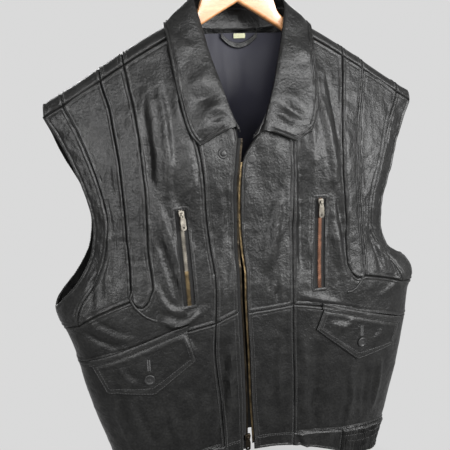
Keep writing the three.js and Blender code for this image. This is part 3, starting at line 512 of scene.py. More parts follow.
def nodes_at(side, face, x, z):
    return nodes(side, face, angle_at(side, np.asarray(x, float), np.asarray(z, float)), z)


# The lattice of seams


def seam_x(side, column, z):
    if column in ACROSS_STRIP:
        return mix(seam_x(side, "stripIn", z), seam_x(side, "stripOut", z), ACROSS_STRIP[column])
    return SEAMS[side](z, column)


def yoke_end(side, column):
    """Where a lengthwise seam meets the front shoulder seam, found by repeated steps."""
    x = 150.0
    for _ in range(40):
        x = float(seam_x(side, column, ridge_height(x) - YOKE_DROP))
    return x, float(ridge_height(x)) - YOKE_DROP


def cross_z(side, face, row, column):
    if column == "centre":
        if row == "yoke":
            return BACK_NECK_Z
        return (CROSS["L"][row][-1] + CROSS["R"][row][-1]) / 2 + BACK_RISE[row]
    if row == "yoke":
        return yoke_end(side, column)[1]
    front = CROSS[side][row]
    if face == "front":
        return front[COLUMNS.index(column)]
    share = float(seam_x(side, column, front[-1]) / seam_x(side, "arm", front[-1]))
    return front[-1] + BACK_RISE[row] * (1 - min(share, 1) ** 2)


def column_x(side, face, column, z):
    if column == "centre":
        return np.zeros_like(z)
    if face == "back" and column in BACK_SEAM_END:
        top_x, top_z = yoke_end(side, column)
        share = np.clip((top_z - z) / (top_z - BACK_END_Z), 0, 1)
        return mix(top_x, BACK_SEAM_END[column], share)
    if face == "back" and column == "arm":
        away = (np.asarray(z, float) - BACK_ARM_SPREAD["z"]) / BACK_ARM_SPREAD["reach"]
        return seam_x(side, column, z) + BACK_ARM_SPREAD["by"] * np.exp(-away * away)
    return seam_x(side, column, z)


class Lattice:
    """One half of the front or the back; places count crosswise seams (t) and lengthwise ones (s)."""

    def __init__(self, side, face):
        self.side = side
        self.face = face
        self.names = COLUMNS if face == "front" else ["centre", *COLUMNS]
        self.heights = [[cross_z(side, face, row, name) for row in ROWS] for name in self.names]
        columns = np.arange(len(self.names))
        rows = np.arange(len(ROWS))
        strip_end = np.array([float(ROWS.index("stripEnd"))])
        self.widths = run_of(self.grid(strip_end, columns)[0][0])
        fine = np.linspace(0, rows[-1], 101)
        spine = self.grid(fine, np.array([self.names.index("stripIn")], float))[0][:, 0]
        self.drops = np.interp(rows, fine, run_of(spine))

    def grid(self, t, s):
        """Points and normals at every row place t and column place s."""
        rows = np.arange(len(ROWS))
        z = np.array([np.interp(t, rows, heights) for heights in self.heights])
        places = [column_x(self.side, self.face, name, z[k]) for k, name in enumerate(self.names)]
        angle = np.array([angle_at(self.side, x, z[k]) for k, x in enumerate(places)])
        k = np.minimum(s.astype(int), len(self.names) - 2)
        f = s - k
        angle = angle[k].T * (1 - f) + angle[k + 1].T * f
        angle = np.where(angle > QUARTER_TURN - SIDE_SNAP, QUARTER_TURN, angle)
        return nodes(self.side, self.face, angle, z[k].T * (1 - f) + z[k + 1].T * f)

    def across(self, stops, step=STEP):
        """Column places between named seams, with fine lines beside each."""
        return seam_spots(self.names, self.widths, stops, step)

    def down(self, stops, step=STEP):
        """Row places between named seams, with fine lines beside each."""
        return seam_spots(ROWS, self.drops, stops, step)


def seam_spots(names, run, stops, step):
    """Places between named seams, counted in seams and in millimetres."""
    marks = np.interp([names.index(name) for name in stops], range(len(names)), run)
    spots = np.array([spot for a, b in zip(marks, marks[1:]) for spot in fine_spots(a, b, EDGE_LINES, step)])
    return np.interp(spots, run, range(len(names))), spots


def fine_spots(a, b, lines, step):
    """Places from a to b: fine lines near both ends and even steps between them."""
    near = [d for d in lines if d < (b - a) / NEAR_SHARE]
    inner = b - a - 2 * near[-1]
    count = max(1, round(inner / step))
    between = [a + near[-1] + inner * k / count for k in range(1, count)]
    return [a + d for d in near] + between + [b - d for d in reversed(near)]


FRONT = {side: Lattice(side, "front") for side in "LR"}
BACK = {side: Lattice(side, "back") for side in "LR"}


# Relief

CREASE_DEPTH = {"front": 2.2, "back": 1.3}
BROAD_FOLD, MEDIUM_FOLD, THIN_CREASE, CRUMPLE, PEBBLE = 2.3, 1.3, 0.9, 0.4, 0.28


def nearest_on(places, x, z):
    """Distance to a line of places, share of the way along it, and the side of it (+1 or -1)."""
    run = run_of(places)
    ends = run / run[-1]
    best = np.full(x.shape, 1e9)
    along = np.zeros_like(x)
    turn = np.zeros_like(x)
    for k, (a, b) in enumerate(zip(places, places[1:])):
        dx, dz = b - a
        f = np.clip(((x - a[0]) * dx + (z - a[1]) * dz) / (dx * dx + dz * dz), 0, 1)
        gap = np.hypot(x - a[0] - f * dx, z - a[1] - f * dz)
        nearer = gap < best
        best = np.where(nearer, gap, best)
        along = np.where(nearer, mix(ends[k], ends[k + 1], f), along)
        turn = np.where(nearer, np.sign((x - a[0]) * dz - (z - a[1]) * dx), turn)
    return best, along, turn


def crease_rise(face, side, x, z):
    """Listed creases: a crest with a shallow trough beside it."""
    rise = np.zeros_like(x)
    for (crease_face, crease_side), creases in CREASES.items():
        if not reaches(face, side, crease_face, crease_side):
            continue
        outward = 1 if crease_side == side else -1
        for width, height, *places in creases:
            gap, along, turn = nearest_on(np.array(places, float) * [outward, 1], x, z)
            q = gap / width
            swell = np.sin(pi * np.clip(along, 0.02, 0.98)) ** 0.7
            crest = np.exp(-1.5 * q**1.6) - 0.5 * np.exp(-2.2 * (q * turn - 1.5) ** 2)
            rise += CREASE_DEPTH[face] * height * swell * crest
    return rise


def drape(x, z, seed):
    """Soft uneven wrinkles, longer down the cloth than across."""
    broad = BROAD_FOLD * noise(x, z * 0.5, 44, seed)
    medium = MEDIUM_FOLD * noise(x + 40 + z * 0.25, z * 0.5, 21, seed + 1)
    thin = 1 - np.abs(noise(x * 1.2 - z * 0.2, z * 0.5, 15, seed + 2)) * 2.2
    crumple = CRUMPLE * noise(x + z * 0.3, z * 0.8, 11, seed + 4) + PEBBLE * noise(x, z, 6, seed + 3)
    return broad + medium + THIN_CREASE * np.maximum(thin, 0) ** 2 + crumple


def bump_at(distance, place, width):
    return np.exp(-(((distance - place) / width) ** 2))


def turned_edge(distance, width):
    """1 at a border, falling to 0 at a width from it."""
    return np.clip(1 - distance / width, 0, 1) ** 2


def seam_profile(distance, roll=1.6, ridge=1.1):
    """Height beside a border: the turned edge, the crest over the seam allowance, the stitch groove."""
    groove = 0.5 * bump_at(distance, STITCH_ROWS[1], 0.9)
    crest = ridge * bump_at(distance, 3.2, 1.5) + 0.3 * bump_at(distance, 8, 2.4)
    return crest - roll * turned_edge(distance, 1.6) - groove


def edge_wear(distance, most=0.8, place=3.0, width=2.4, extra=0.0):
    """How rubbed the leather is, from 0 to 1: most on the crest beside an edge."""
    return np.clip(most * bump_at(distance, place, width) + extra, 0, 1)


# Meshes


def mesh_object(name, points, faces, material, wear=None, smooth_angle=45):
    """An object from points in millimetres."""
    mesh = bpy.data.meshes.new(name)
    mesh.from_pydata((np.asarray(points) * MM).tolist(), [], [tuple(map(int, f)) for f in faces])
    mesh.update()
    mesh.shade_smooth()
    mesh.set_sharp_from_angle(angle=radians(smooth_angle))
    if wear is not None:
        layer = mesh.attributes.new("wear", "FLOAT", "POINT")
        layer.data.foreach_set("value", np.asarray(wear, dtype=np.float32))
    obj = bpy.data.objects.new(name, mesh)
    obj.data.materials.append(material)
    bpy.context.scene.collection.objects.link(obj)
    return obj


def attach(obj, slot, *replaced, body="vest"):
    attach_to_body(obj, body)
    if replaced:
        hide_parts(*replaced)
    return obj


def all_cells(points):
    return np.ones((points.shape[0] - 1, points.shape[1] - 1), bool)


def border_of(keep):
    """Grid nodes on the border of the kept cells, and nodes used at all."""
    rows, columns = keep.shape
    padded = np.pad(keep, 1)
    around = [padded[i : i + rows + 1, j : j + columns + 1] for i in (0, 1) for j in (0, 1)]
    used = np.any(around, axis=0)
    return used & ~np.all(around, axis=0), used


def border_distance(points, keep):
    """Distance of each grid point to the nearest border point."""
    border, used = border_of(keep)
    spots = points[border]
    tree = KDTree(len(spots))
    for k, p in enumerate(spots):
        tree.insert(p, k)
    tree.balance()
    distance = np.zeros(points.shape[:2])
    for i, j in zip(*np.nonzero(used)):
        distance[i, j] = tree.find(points[i, j])[2]
    return distance


def wall(name, outer, inner, keep, material, wear=None):
    """A closed wall between two grids of points."""
    used = border_of(keep)[1]
    count = int(used.sum())
    index = np.full(used.shape, -1)
    index[used] = np.arange(count)
    i, j = np.nonzero(keep)
    a, b, c, d = index[i, j], index[i, j + 1], index[i + 1, j + 1], index[i + 1, j]
    corner = outer[i[0], j[0]]
    facing = np.dot(
        np.cross(outer[i[0], j[0] + 1] - corner, outer[i[0] + 1, j[0]] - corner),
        outer[i[0], j[0]] - inner[i[0], j[0]],
    )
    faces = [np.stack([a, b, c, d], 1), np.stack([d, c, b, a], 1) + count]
    padded = np.pad(keep, 1)
    for di, dj, p, q in ((-1, 0, b, a), (1, 0, d, c), (0, -1, a, d), (0, 1, c, b)):
        open_side = ~padded[i + 1 + di, j + 1 + dj]
        p, q = p[open_side], q[open_side]
        faces.append(np.stack([p, q, q + count, p + count], 1))
    faces = np.concatenate(faces)
    if facing < 0:
        faces = faces[:, ::-1]
    points = np.concatenate([outer[used], inner[used]])
    if wear is not None:
        wear = np.concatenate([wear[used], np.zeros(count)])
    return mesh_object(name, points, faces, material, wear)


def leather_wall(name, outer, inner, keep, wear, node):
    obj = wall(name, outer, inner, keep, LEATHER_MATERIAL, wear)
    return attach(obj, "leather", node)


def ring_quads(rings, count):
    """Faces between successive rings of points."""
    return [
        (a + k, a + (k + 1) % count, a + count + (k + 1) % count, a + count + k)
        for a in range(0, (rings - 1) * count, count)
        for k in range(count)
    ]


def tube_faces(rings, count):
    """Faces of a closed tube of rings of points."""
    last = (rings - 1) * count
    return [*ring_quads(rings, count), tuple(reversed(range(count))), tuple(range(last, last + count))]


def shifted(faces, base):
    return [tuple(base + k for k in face) for face in faces]


def loft(rings, tips=None):
    """Points and faces of a closed solid through rings of equal count, with a tip on each end."""
    count = len(rings[0])
    tips = tips or [np.mean(rings[0], 0), np.mean(rings[-1], 0)]
    points = np.array([p for ring in rings for p in ring] + tips)
    faces = ring_quads(len(rings), count)
    end = (len(rings) - 1) * count
    for k in range(count):
        n = (k + 1) % count
        faces += [(len(points) - 2, n, k), (len(points) - 1, end + k, end + n)]
    return points, faces


def lathe(profile, segments=32):
    """Points and faces of a turned solid from [radius, height] pairs, both ends on the axis."""
    rings = [[[r * cos(turn), r * sin(turn), h] for turn in circle(segments)] for r, h in profile[1:-1]]
    return loft(rings, [[0, 0, profile[0][1]], [0, 0, profile[-1][1]]])


# Stitches

THREAD_RING = 5
THREAD_SHAPE = [(0, 0.35), (0.25, 1), (0.75, 1), (1, 0.35)]  # share of a stitch's length, share of its radius
STITCH_LENGTH = 3.0
STITCH_PITCH = 3.9
THREAD_SINK = 0.6  # share of the radius that is sunk in the leather


class Thread:
    """The stitches of one piece."""

    def __init__(self):
        self.stitches = []

    def stitch(self, start, end, normal, radius=0.3, lift=0.05):
        self.stitches.append((*start, *end, *normal, radius, lift))

    def line(self, points, normals):
        """Even stitches along a line of points."""
        run = run_of(points)
        middles = np.arange(STITCH_PITCH / 2, run[-1] - STITCH_PITCH / 2, STITCH_PITCH)
        starts = on_run(points, run, middles - STITCH_LENGTH / 2)
        ends = on_run(points, run, middles + STITCH_LENGTH / 2)
        for stitch in zip(starts, ends, on_run(normals, run, middles)):
            self.stitch(*stitch)

    def make(self, name):
        """All the stitches as one object of small rounded bars."""
        rows = np.array(self.stitches)
        start, end, normal = rows[:, 0:3], rows[:, 3:6], unit(rows[:, 6:9])
        radius, lift = rows[:, 9:10], rows[:, 10:11]
        side = unit(np.cross(end - start, normal))
        rings = []
        for share, size in THREAD_SHAPE:
            middle = mix(start, end, share) + normal * (lift + radius * (size - THREAD_SINK))
            for turn in circle(THREAD_RING):
                rings.append(middle + radius * size * (cos(turn) * normal + sin(turn) * side))
        points = np.stack(rings, 1).reshape(-1, 3)
        bar = tube_faces(len(THREAD_SHAPE), THREAD_RING)
        faces = [face for base in range(0, len(points), len(rings)) for face in shifted(bar, base)]
        return attach(mesh_object(name, points, faces, THREAD_MATERIAL, smooth_angle=60), "leather")


# Materials


class Shade:
    """A node material with short calls for the textures that it is made of."""

    def __init__(self, name, **settings):
        self.material = bpy.data.materials.new(name)
        self.material.use_nodes = True
        self.tree = self.material.node_tree
        self.shader = self.tree.nodes["Principled BSDF"]
        self.place = self.add("ShaderNodeTexCoord").outputs["Object"]
        for socket, value in settings.items():
            self.shader.inputs[socket.replace("_", " ")].default_value = value

    def add(self, kind, **settings):
        node = self.tree.nodes.new(kind)
        for key, value in settings.items():
            setattr(node, key, value)
        return node

    def wire(self, output, socket):
        self.tree.links.new(output, socket)

    def stretched(self, scale):
        node = self.add("ShaderNodeMapping")
        node.inputs["Scale"].default_value = scale
        self.wire(self.place, node.inputs["Vector"])
        return node.outputs["Vector"]

    def noise(self, scale, detail, place=None):
        node = self.add("ShaderNodeTexNoise")
        node.inputs["Scale"].default_value = scale
        node.inputs["Detail"].default_value = detail
        self.wire(place or self.place, node.inputs["Vector"])
        return node.outputs["Fac"]

    def cells(self, scale):
        node = self.add("ShaderNodeTexVoronoi", feature="DISTANCE_TO_EDGE")
        node.inputs["Scale"].default_value = scale
        self.wire(self.place, node.inputs["Vector"])
        return node.outputs["Distance"]

    def waves(self, scale, direction, distortion):
        node = self.add("ShaderNodeTexWave", bands_direction=direction)
        node.inputs["Scale"].default_value = scale
        node.inputs["Distortion"].default_value = distortion
        self.wire(self.place, node.inputs["Vector"])
        return node.outputs["Fac"]

    def ramp(self, source, *stops):
        """Colours (or greys, for a single number) at places from 0 to 1."""
        node = self.add("ShaderNodeValToRGB")
        points = node.color_ramp.elements
        while len(points) < len(stops):
            points.new(0.5)
        for point, (position, color) in zip(points, stops):
            point.position = position
            point.color = (*color, 1) if hasattr(color, "__len__") else (color, color, color, 1)
        self.wire(source, node.inputs["Fac"])
        return node.outputs["Color"]

    def paint(self, socket, source, *stops):
        """Colour one of the shader's sockets by a ramp over a texture."""
        self.wire(self.ramp(source, *stops), self.shader.inputs[socket])

    def blend(self, factor, a, b):
        node = self.add("ShaderNodeMix", data_type="RGBA")
        self.wire(factor, node.inputs[0])
        self.wire(a, node.inputs[6])
        self.wire(b, node.inputs[7])
        return node.outputs[2]

    def bump(self, *layers):
        """Bump layers of (height, strength, distance in metres), one over the other."""
        normal = None
        for height, strength, distance in layers:
            node = self.add("ShaderNodeBump")
            node.inputs["Strength"].default_value = strength
            node.inputs["Distance"].default_value = distance
            self.wire(height, node.inputs["Height"])
            if normal:
                self.wire(normal, node.inputs["Normal"])
            normal = node.outputs["Normal"]
        self.wire(normal, self.shader.inputs["Normal"])


PEBBLE_SCALE = 330


def leather_material(name, dark, light, rough):
    """Pebbled hide: lighter where a crest or an edge has been rubbed."""
    shade = Shade(name, Specular_IOR_Level=0.14, Coat_Weight=0.02, Coat_Roughness=0.3)
    grain = shade.ramp(shade.noise(PEBBLE_SCALE, 4), (0.36, dark), (0.66, light))
    rubbed = shade.ramp(shade.noise(PEBBLE_SCALE, 4), (0.36, light), (0.66, [2.4 * c for c in light]))
    patches = shade.ramp(shade.noise(45, 4), (0.42, 0), (0.66, 0.6))
    wear = shade.add("ShaderNodeAttribute", attribute_name="wear").outputs["Fac"]
    pebbled = shade.blend(patches, grain, rubbed)
    shade.wire(shade.blend(wear, pebbled, rubbed), shade.shader.inputs["Base Color"])
    shade.paint("Roughness", shade.noise(PEBBLE_SCALE, 4), (0.34, rough + 0.08), (0.66, rough - 0.05))
    shade.bump(
        (shade.noise(75, 3), 0.7, 0.0022),
        (shade.noise(PEBBLE_SCALE, 3), 0.6, 0.0011),
        (shade.cells(620), 0.5, 0.0003),
    )
    return shade.material


def satin_material():
    shade = Shade("lining_satin", Sheen_Weight=0.03, Sheen_Roughness=0.4, Specular_IOR_Level=0.08)
    shade.paint("Base Color", shade.noise(12, 3), (0.3, [0.005, 0.005, 0.008]), (0.75, [0.009, 0.009, 0.013]))
    shade.paint("Roughness", shade.noise(90, 3, shade.stretched((1, 1, 0.1))), (0.3, 0.44), (0.7, 0.56))
    shade.bump((shade.waves(620, "DIAGONAL", 0.4), 0.12, 0.0001), (shade.noise(26, 2), 0.2, 0.002))
    return shade.material


def woven_material(name, patch, colors, weave, waver, ways, **settings):
    """Cloth or thread, with a bump of the given strength for each way that its threads run."""
    shade = Shade(name, **settings)
    shade.paint("Base Color", shade.noise(patch, 2), (0.3, colors[0]), (0.8, colors[1]))
    shade.bump(*((shade.waves(weave, way, waver), strength, 0.0002) for way, strength in ways.items()))
    return shade.material


def wood_material():
    """Pale varnished wood, its grain along the bar."""
    shade = Shade("hanger_wood", Coat_Weight=0.35, Coat_Roughness=0.22)
    along = shade.stretched((1, 9, 9))
    rings = shade.noise(16, 5, along)
    color = shade.ramp(
        rings, (0.32, [0.21, 0.1, 0.04]), (0.5, [0.18, 0.082, 0.031]), (0.68, [0.23, 0.115, 0.048])
    )
    pores = shade.ramp(shade.noise(90, 3, along), (0.36, [0.7, 0.42, 0.2]), (0.44, [1, 1, 1]))
    speckled = shade.add("ShaderNodeMix", data_type="RGBA", blend_type="MULTIPLY")
    speckled.inputs[0].default_value = 0.5
    shade.wire(color, speckled.inputs[6])
    shade.wire(pores, speckled.inputs[7])
    shade.wire(speckled.outputs[2], shade.shader.inputs["Base Color"])
    shade.paint("Roughness", rings, (0.3, 0.34), (0.7, 0.46))
    shade.bump((shade.noise(90, 3, along), 0.12, 0.0004))
    return shade.material


def metal_material(name, low, high, rough, patch=40):
    shade = Shade(name, Metallic=1.0)
    shade.paint("Base Color", shade.noise(patch, 3), (0.35, low), (0.65, high))
    shade.paint("Roughness", shade.noise(900, 2), (0.3, rough - 0.06), (0.7, rough + 0.1))
    shade.bump((shade.noise(700, 2), 0.15, 0.0001))
    return shade.material


def plastic_material():
    shade = Shade("black_button", Specular_IOR_Level=0.16)
    shade.paint("Base Color", shade.noise(120, 2), (0.3, 0.004), (0.7, 0.012))
    shade.paint("Roughness", shade.noise(260, 2), (0.3, 0.34), (0.7, 0.5))
    shade.bump((shade.noise(500, 2), 0.1, 0.0001))
    return shade.material


LEATHER_MATERIAL = leather_material("leather", [0.001, 0.001, 0.001], [0.0036, 0.0036, 0.0035], 0.39)
SATIN_MATERIAL = satin_material()
TAPE_MATERIAL = woven_material(
    "zip_tape_cloth", 300, (0.002, 0.006), 420, 1.0, {"X": 0.5, "Z": 0.4},
    Roughness=0.85, Sheen_Weight=0.05, Specular_IOR_Level=0.1,
)
THREAD_MATERIAL = woven_material(
    "black_thread", 700, (0.008, 0.02), 1600, 2.0, {"DIAGONAL": 0.5},
    Roughness=0.6, Sheen_Weight=0.1, Specular_IOR_Level=0.3,
)
LABEL_MATERIAL = woven_material(
    "label_cloth", 400, ([0.13, 0.132, 0.08], [0.19, 0.19, 0.12]), 1100, 0.5, {"X": 0.4, "Z": 0.4},
    Roughness=0.85, Sheen_Weight=0.2,
)
WOOD_MATERIAL = wood_material()
STEEL_MATERIAL = metal_material("hook_steel", [0.13, 0.13, 0.13], [0.22, 0.22, 0.22], 0.36)
NICKEL_MATERIAL = metal_material("worn_nickel", [0.045, 0.041, 0.035], [0.09, 0.083, 0.07], 0.5, 150)
BRASS_MATERIAL = metal_material("worn_brass", [0.045, 0.033, 0.018], [0.13, 0.095, 0.05], 0.42, 90)
COPPER_MATERIAL = metal_material("worn_copper", [0.035, 0.017, 0.011], [0.085, 0.042, 0.027], 0.46, 120)
# Very dark brass: painted shade on the left row of front teeth, which lies in shadow and is the same brass as
# the right row; the front slider and pull also use it.
DARK_METAL_AND_PAINTED_SHADE_MATERIAL = metal_material("dark_metal_and_painted_shade", [0.012, 0.01, 0.008], [0.034, 0.027, 0.018], 0.45)
PLASTIC_MATERIAL = plastic_material()


# Patches of cloth


WAIST_BULGE = {"z": -525, "reach": 48, "rise": 5}  # the fronts puff out above the waist seam
SIDE_CALM = 26  # the relief of front and back fades towards the side seam, where they meet
BELOW_WAIST_CALM = 0.55
BACK_WRINKLES = 0.7
BACK_LOWEST = -1.2  # deeper wrinkles would reach the lining
DRAPE_SEED = 11


def calm(face, x, z):
    """Less wrinkling where a pocket flap or a chest zip lies on the panel."""
    if face == "back":
        return 1.0
    flap = ((x - 165) / 88) ** 4 + ((z + 615) / 52) ** 4
    zip_window = ((x - 101) / 17) ** 4 + ((z + 472) / 84) ** 4
    return (1 - 0.85 * np.exp(-flap)) * (1 - 0.8 * np.exp(-zip_window))


def relief_at(side, face, x, z):
    """Creases and wrinkles of the cloth at a distance from the middle and a height."""
    wrinkles = drape(SIGN[side] * x, z, DRAPE_SEED) * calm(face, x, z)
    wrinkles = wrinkles * np.clip((ridge_height(x) - z - 12) / 60, 0.08, 1)
    wrinkles = wrinkles * (1 - BELOW_WAIST_CALM * np.clip((WAIST_BULGE["z"] - z) / 50, 0, 1))
    to_side_seam = np.clip((seam_x(side, "arm", z) - x) / SIDE_CALM, 0, 1)
    if face == "back":
        wrinkles = np.maximum(BACK_WRINKLES * wrinkles, BACK_LOWEST)
        return (crease_rise(face, side, x, z) + wrinkles) * to_side_seam
    bulge = WAIST_BULGE["rise"] * bump_at(z, WAIST_BULGE["z"], WAIST_BULGE["reach"]) * calm(face, x, z)
    return (crease_rise(face, side, x, z) + wrinkles + bulge) * to_side_seam


def skin(side, face, x, z, lift=0.0):
    """Points on the wrinkled cloth, with the smooth form's normals."""
    x, z = np.broadcast_arrays(np.asarray(x, float), np.asarray(z, float))
    points, normals = nodes_at(side, face, x, z)
    height = relief_at(side, face, x, z) + lift
    return points + normals * height[..., None], normals


class Patch:
    """A grid of cloth: points, normals, relief, and the millimetre place of each row and column."""

    def __init__(self, points, normals, relief, down, across, marks):
        self.points = points
        self.normals = normals
        self.relief = relief
        self.down = down
        self.across = across
        self.marks = marks

    def centres(self):
        down = (self.down[1:] + self.down[:-1]) / 2
        across = (self.across[1:] + self.across[:-1]) / 2
        return down[:, None], across[None, :]

    def grids(self, columns=slice(None)):
        """The three grids, their columns picked or turned by a slice."""
        return self.points[:, columns], self.normals[:, columns], self.relief[:, columns]


TURNED = slice(None, None, -1)
TURNED_BUT_LAST = slice(-2, None, -1)


def glued(first, second, axis, down, across, marks):
    """One patch from the grids of two."""
    grids = (np.concatenate(pair, axis) for pair in zip(first, second))
    return Patch(*grids, down, across, marks)


def half_patch(lattice, rows, columns, step=STEP, ruler=None):
    """Part of a lattice between named seams; a ruler is the lattice whose row places it shares."""
    ruler = ruler or lattice
    s, across = lattice.across(columns, step)
    t, down = ruler.down(rows, step)
    points, normals = lattice.grid(t, s)
    outward = points[..., 0] * SIGN[lattice.side]
    relief = relief_at(lattice.side, lattice.face, outward, points[..., 2])
    marks = dict(zip(ROWS, ruler.drops)) | dict(zip(lattice.names, lattice.widths))
    return Patch(points, normals, relief, down, across, marks)


# Drops below the shoulder line, from the front shoulder seam over to the back
SHOULDER_WRAP = [-15.8, -15.1, -13.8, -12, -9.5, -7, -5, -3, -1.5, 0, 1.5, 3, 5, 7, 9.5, 12, 14]
WRAP_STRETCH = 1.3  # length of the rolled cloth for each millimetre of drop


def shoulder_patch(side, columns, step=STEP):
    """The back's columns carried over the shoulder line to the front shoulder seam."""
    s, across = BACK[side].across(columns, step)
    on_yoke = FRONT[side].grid(np.array([0.0]), np.maximum(s - 1, 0))[0][0]
    x = np.abs(on_yoke[:, 0])
    rows = []
    for drop in SHOULDER_WRAP:
        face = "front" if drop < 0 else "back"
        z = ridge_height(x) - abs(drop)
        if drop == 0:
            slope = (ridge_height(x + 2) - ridge_height(x - 2)) / 4
            points = np.stack([SIGN[side] * x, np.zeros_like(x), z], -1)
            normals = unit(np.stack([-slope * SIGN[side], np.zeros_like(x), np.ones_like(x)], -1))
        else:
            points, normals = nodes_at(side, face, x, z)
        rows.append((points, normals, relief_at(side, face, x, z)))
    down = (np.array(SHOULDER_WRAP) - YOKE_DROP) * WRAP_STRETCH
    return Patch(*(np.array(part) for part in zip(*rows)), down, across, {})


def stacked(upper, lower):
    down = np.concatenate([upper.down, lower.down])
    return glued(upper.grids(), lower.grids(), 0, down, lower.across, lower.marks)


def joined(left, right):
    """Two halves side by side; the left one's columns are turned to run towards the middle."""
    marks = {f"{name}_R": place for name, place in right.marks.items()}
    marks |= {f"{name}_L": -place for name, place in left.marks.items()}
    across = np.concatenate([-left.across[::-1], right.across])
    return glued(left.grids(TURNED), right.grids(), 1, right.down, across, marks | right.marks)


def runs(flags):
    """First and last index of each run of true flags."""
    edges = np.flatnonzero(np.diff(np.concatenate([[0], flags.astype(int), [0]])))
    return [(a, b) for a, b in zip(edges[::2], edges[1::2]) if b - a > 3]


def sew(thread, patch, outer, distance, stitches):
    """Stitch lines at a distance beside named seams, where the piece reaches."""
    for axis, name, offset in stitches:
        spots = patch.down if axis == "row" else patch.across
        k = nearest(spots, patch.marks[name] + offset)
        at = (k,) if axis == "row" else (slice(None), k)
        for a, b in runs(distance[at] > abs(offset) * 0.5):
            thread.line(outer[at][a:b], patch.normals[at][a:b])


def piece(name, patch, stitches, keep=None, lift=0.0, crown=0.0, gather=None):
    """One cut piece of leather, with turned edges, puckers along its seams and its stitches."""
    keep = all_cells(patch.points) if keep is None else keep
    distance = border_distance(patch.points, keep)
    x, z = patch.points[..., 0], patch.points[..., 2]
    pucker = 0.55 * np.exp(-distance / 7) * noise(x, z, 6.5, 31) * (distance > 0.5)
    bulge = crown * (1 - np.exp(-distance / 9))
    cloth = patch.relief + lift
    if gather is not None:
        cloth = cloth + gather(patch, distance)
    crest = seam_profile(distance) + pucker + bulge
    outer = patch.points + patch.normals * (cloth + crest)[..., None]
    inner = patch.points + patch.normals * (cloth - LEATHER)[..., None]
    wear = edge_wear(distance, 0.75, 3.4, 2.2, 0.1 * patch.relief)
    obj = leather_wall(f"{name}_leather", outer, inner, keep, wear, name)
    thread = Thread()
    sew(thread, patch, outer, distance, stitches)
    thread.make(f"{name}_thread")


def double(axis, name, side):
    """Two rows of stitches beside a seam, on its side +1 or -1."""
    return [(axis, name, side * row) for row in STITCH_ROWS]


# Fronts


def zip_ends(side):
    return (np.array(CHEST_ZIPS[side][end], float) for end in ("top", "bottom"))


def zip_place(side, x, z):
    """Distance across the chest zip's line, distance down it, and its length."""
    top, bottom = zip_ends(side)
    dx, dz = bottom - top
    length = np.hypot(dx, dz)
    along = ((x - top[0]) * dx + (z - top[1]) * dz) / length
    across = ((x - top[0]) * dz - (z - top[1]) * dx) / length
    return across, along, length


WINDOW_DEPTH = 4.2


def zip_recess(side):
    """The panel sinks behind the zip's window, where its tape covers it."""

    def gather(patch, distance):
        x = patch.points[..., 0] * SIGN[side]
        across, along, length = zip_place(side, x, patch.points[..., 2])
        reach = np.minimum(ZIP_WINDOW_WIDTH / 2 + 1 - np.abs(across), np.minimum(along, length - along) + 1)
        return -WINDOW_DEPTH * np.clip(reach / 1.5, 0, 1)

    return gather


def band_gather(patch, distance):
    """Uneven gathers along an armhole band."""
    down, across = patch.down[:, None], patch.across[None, :]
    pucker = noise(down, across * 0.35, 9, 5) + 0.6 * noise(down, across * 0.5, 5, 7)
    pleat = noise(down + 0.8 * across, across * 0.3, 14, 6)
    deep = 0.35 + 0.65 * np.clip((down - 0.6 * patch.down[-1]) / (0.3 * patch.down[-1]), 0, 1)
    deep = deep * np.clip((patch.down[-1] - down) / 30, 0, 1)
    return (0.7 * pucker + 2.2 * deep * pleat) * np.clip(distance / 8, 0, 1) ** 0.7


def add_front(side):
    lattice = FRONT[side]
    centre = half_patch(lattice, ("yoke", "waist"), ("edge", "princess"))
    edge_rows = double("column", "princess", -1) + double("column", "edge", 1)
    piece(f"front_centre_upper_{side}", centre, edge_rows + double("row", "waist", -1))
    lower = half_patch(lattice, ("waist", "hem"), ("edge", "princess"))
    hem_rows = [
        ("row", "waistband", SINGLE_ROW), ("row", "waistband", -SINGLE_ROW), ("row", "hem", -SINGLE_ROW),
    ]
    piece(f"front_centre_lower_{side}", lower, edge_rows + hem_rows)

    chest = half_patch(lattice, ("yoke", "stripEnd", "waist"), ("princess", "stripIn", "arm"), 3.2)
    down, across = chest.centres()
    keep = (across < chest.marks["stripIn"]) | (down > chest.marks["stripEnd"])
    piece(
        f"front_chest_{side}",
        chest,
        [("column", "princess", SINGLE_ROW), ("row", "waist", -SINGLE_ROW)],
        keep=keep,
        gather=zip_recess(side),
    )
    strip = half_patch(lattice, ("yoke", "stripEnd"), ("stripIn", "stripOut"))
    strip_rows = double("column", "stripIn", 1) + double("column", "stripOut", -1)
    piece(f"front_strip_{side}", strip, strip_rows, lift=STRIP_LIFT, crown=1.0)
    flank = half_patch(lattice, ("yoke", "stripEnd"), ("stripOut", "band"))
    piece(f"front_side_{side}", flank, double("column", "band", -1))
    band = half_patch(lattice, ("yoke", "stripEnd"), ("band", "arm"), 3)
    piece(f"armhole_band_front_{side}", band, double("column", "arm", -1), gather=band_gather)
    pocket = half_patch(lattice, ("waist", "waistband"), ("princess", "arm"))
    pocket_rows = [("column", "princess", SINGLE_ROW), ("row", "waistband", -SINGLE_ROW)]
    piece(f"front_lower_{side}", pocket, pocket_rows)
    waistband = half_patch(lattice, ("waistband", "hem"), ("princess", "stripIn"))
    band_rows = [
        ("row", "waistband", SINGLE_ROW), ("row", "hem", -SINGLE_ROW), ("column", "stripIn", -SINGLE_ROW),
    ]
    piece(f"waistband_front_{side}", waistband, band_rows, lift=STRIP_LIFT)


# Back


def back_half(side, rows, columns, step=5.0):
    lower = half_patch(BACK[side], rows, columns, step, BACK["R"])
    return stacked(shoulder_patch(side, columns, step), lower) if rows[0] == "yoke" else lower


def flat_on_shoulder(patch, distance):
    """The raised strips sink level with the rest where they cross the shoulder."""
    return -STRIP_LIFT * np.clip(-patch.down / 10, 0, 1)[:, None] * np.ones_like(distance)


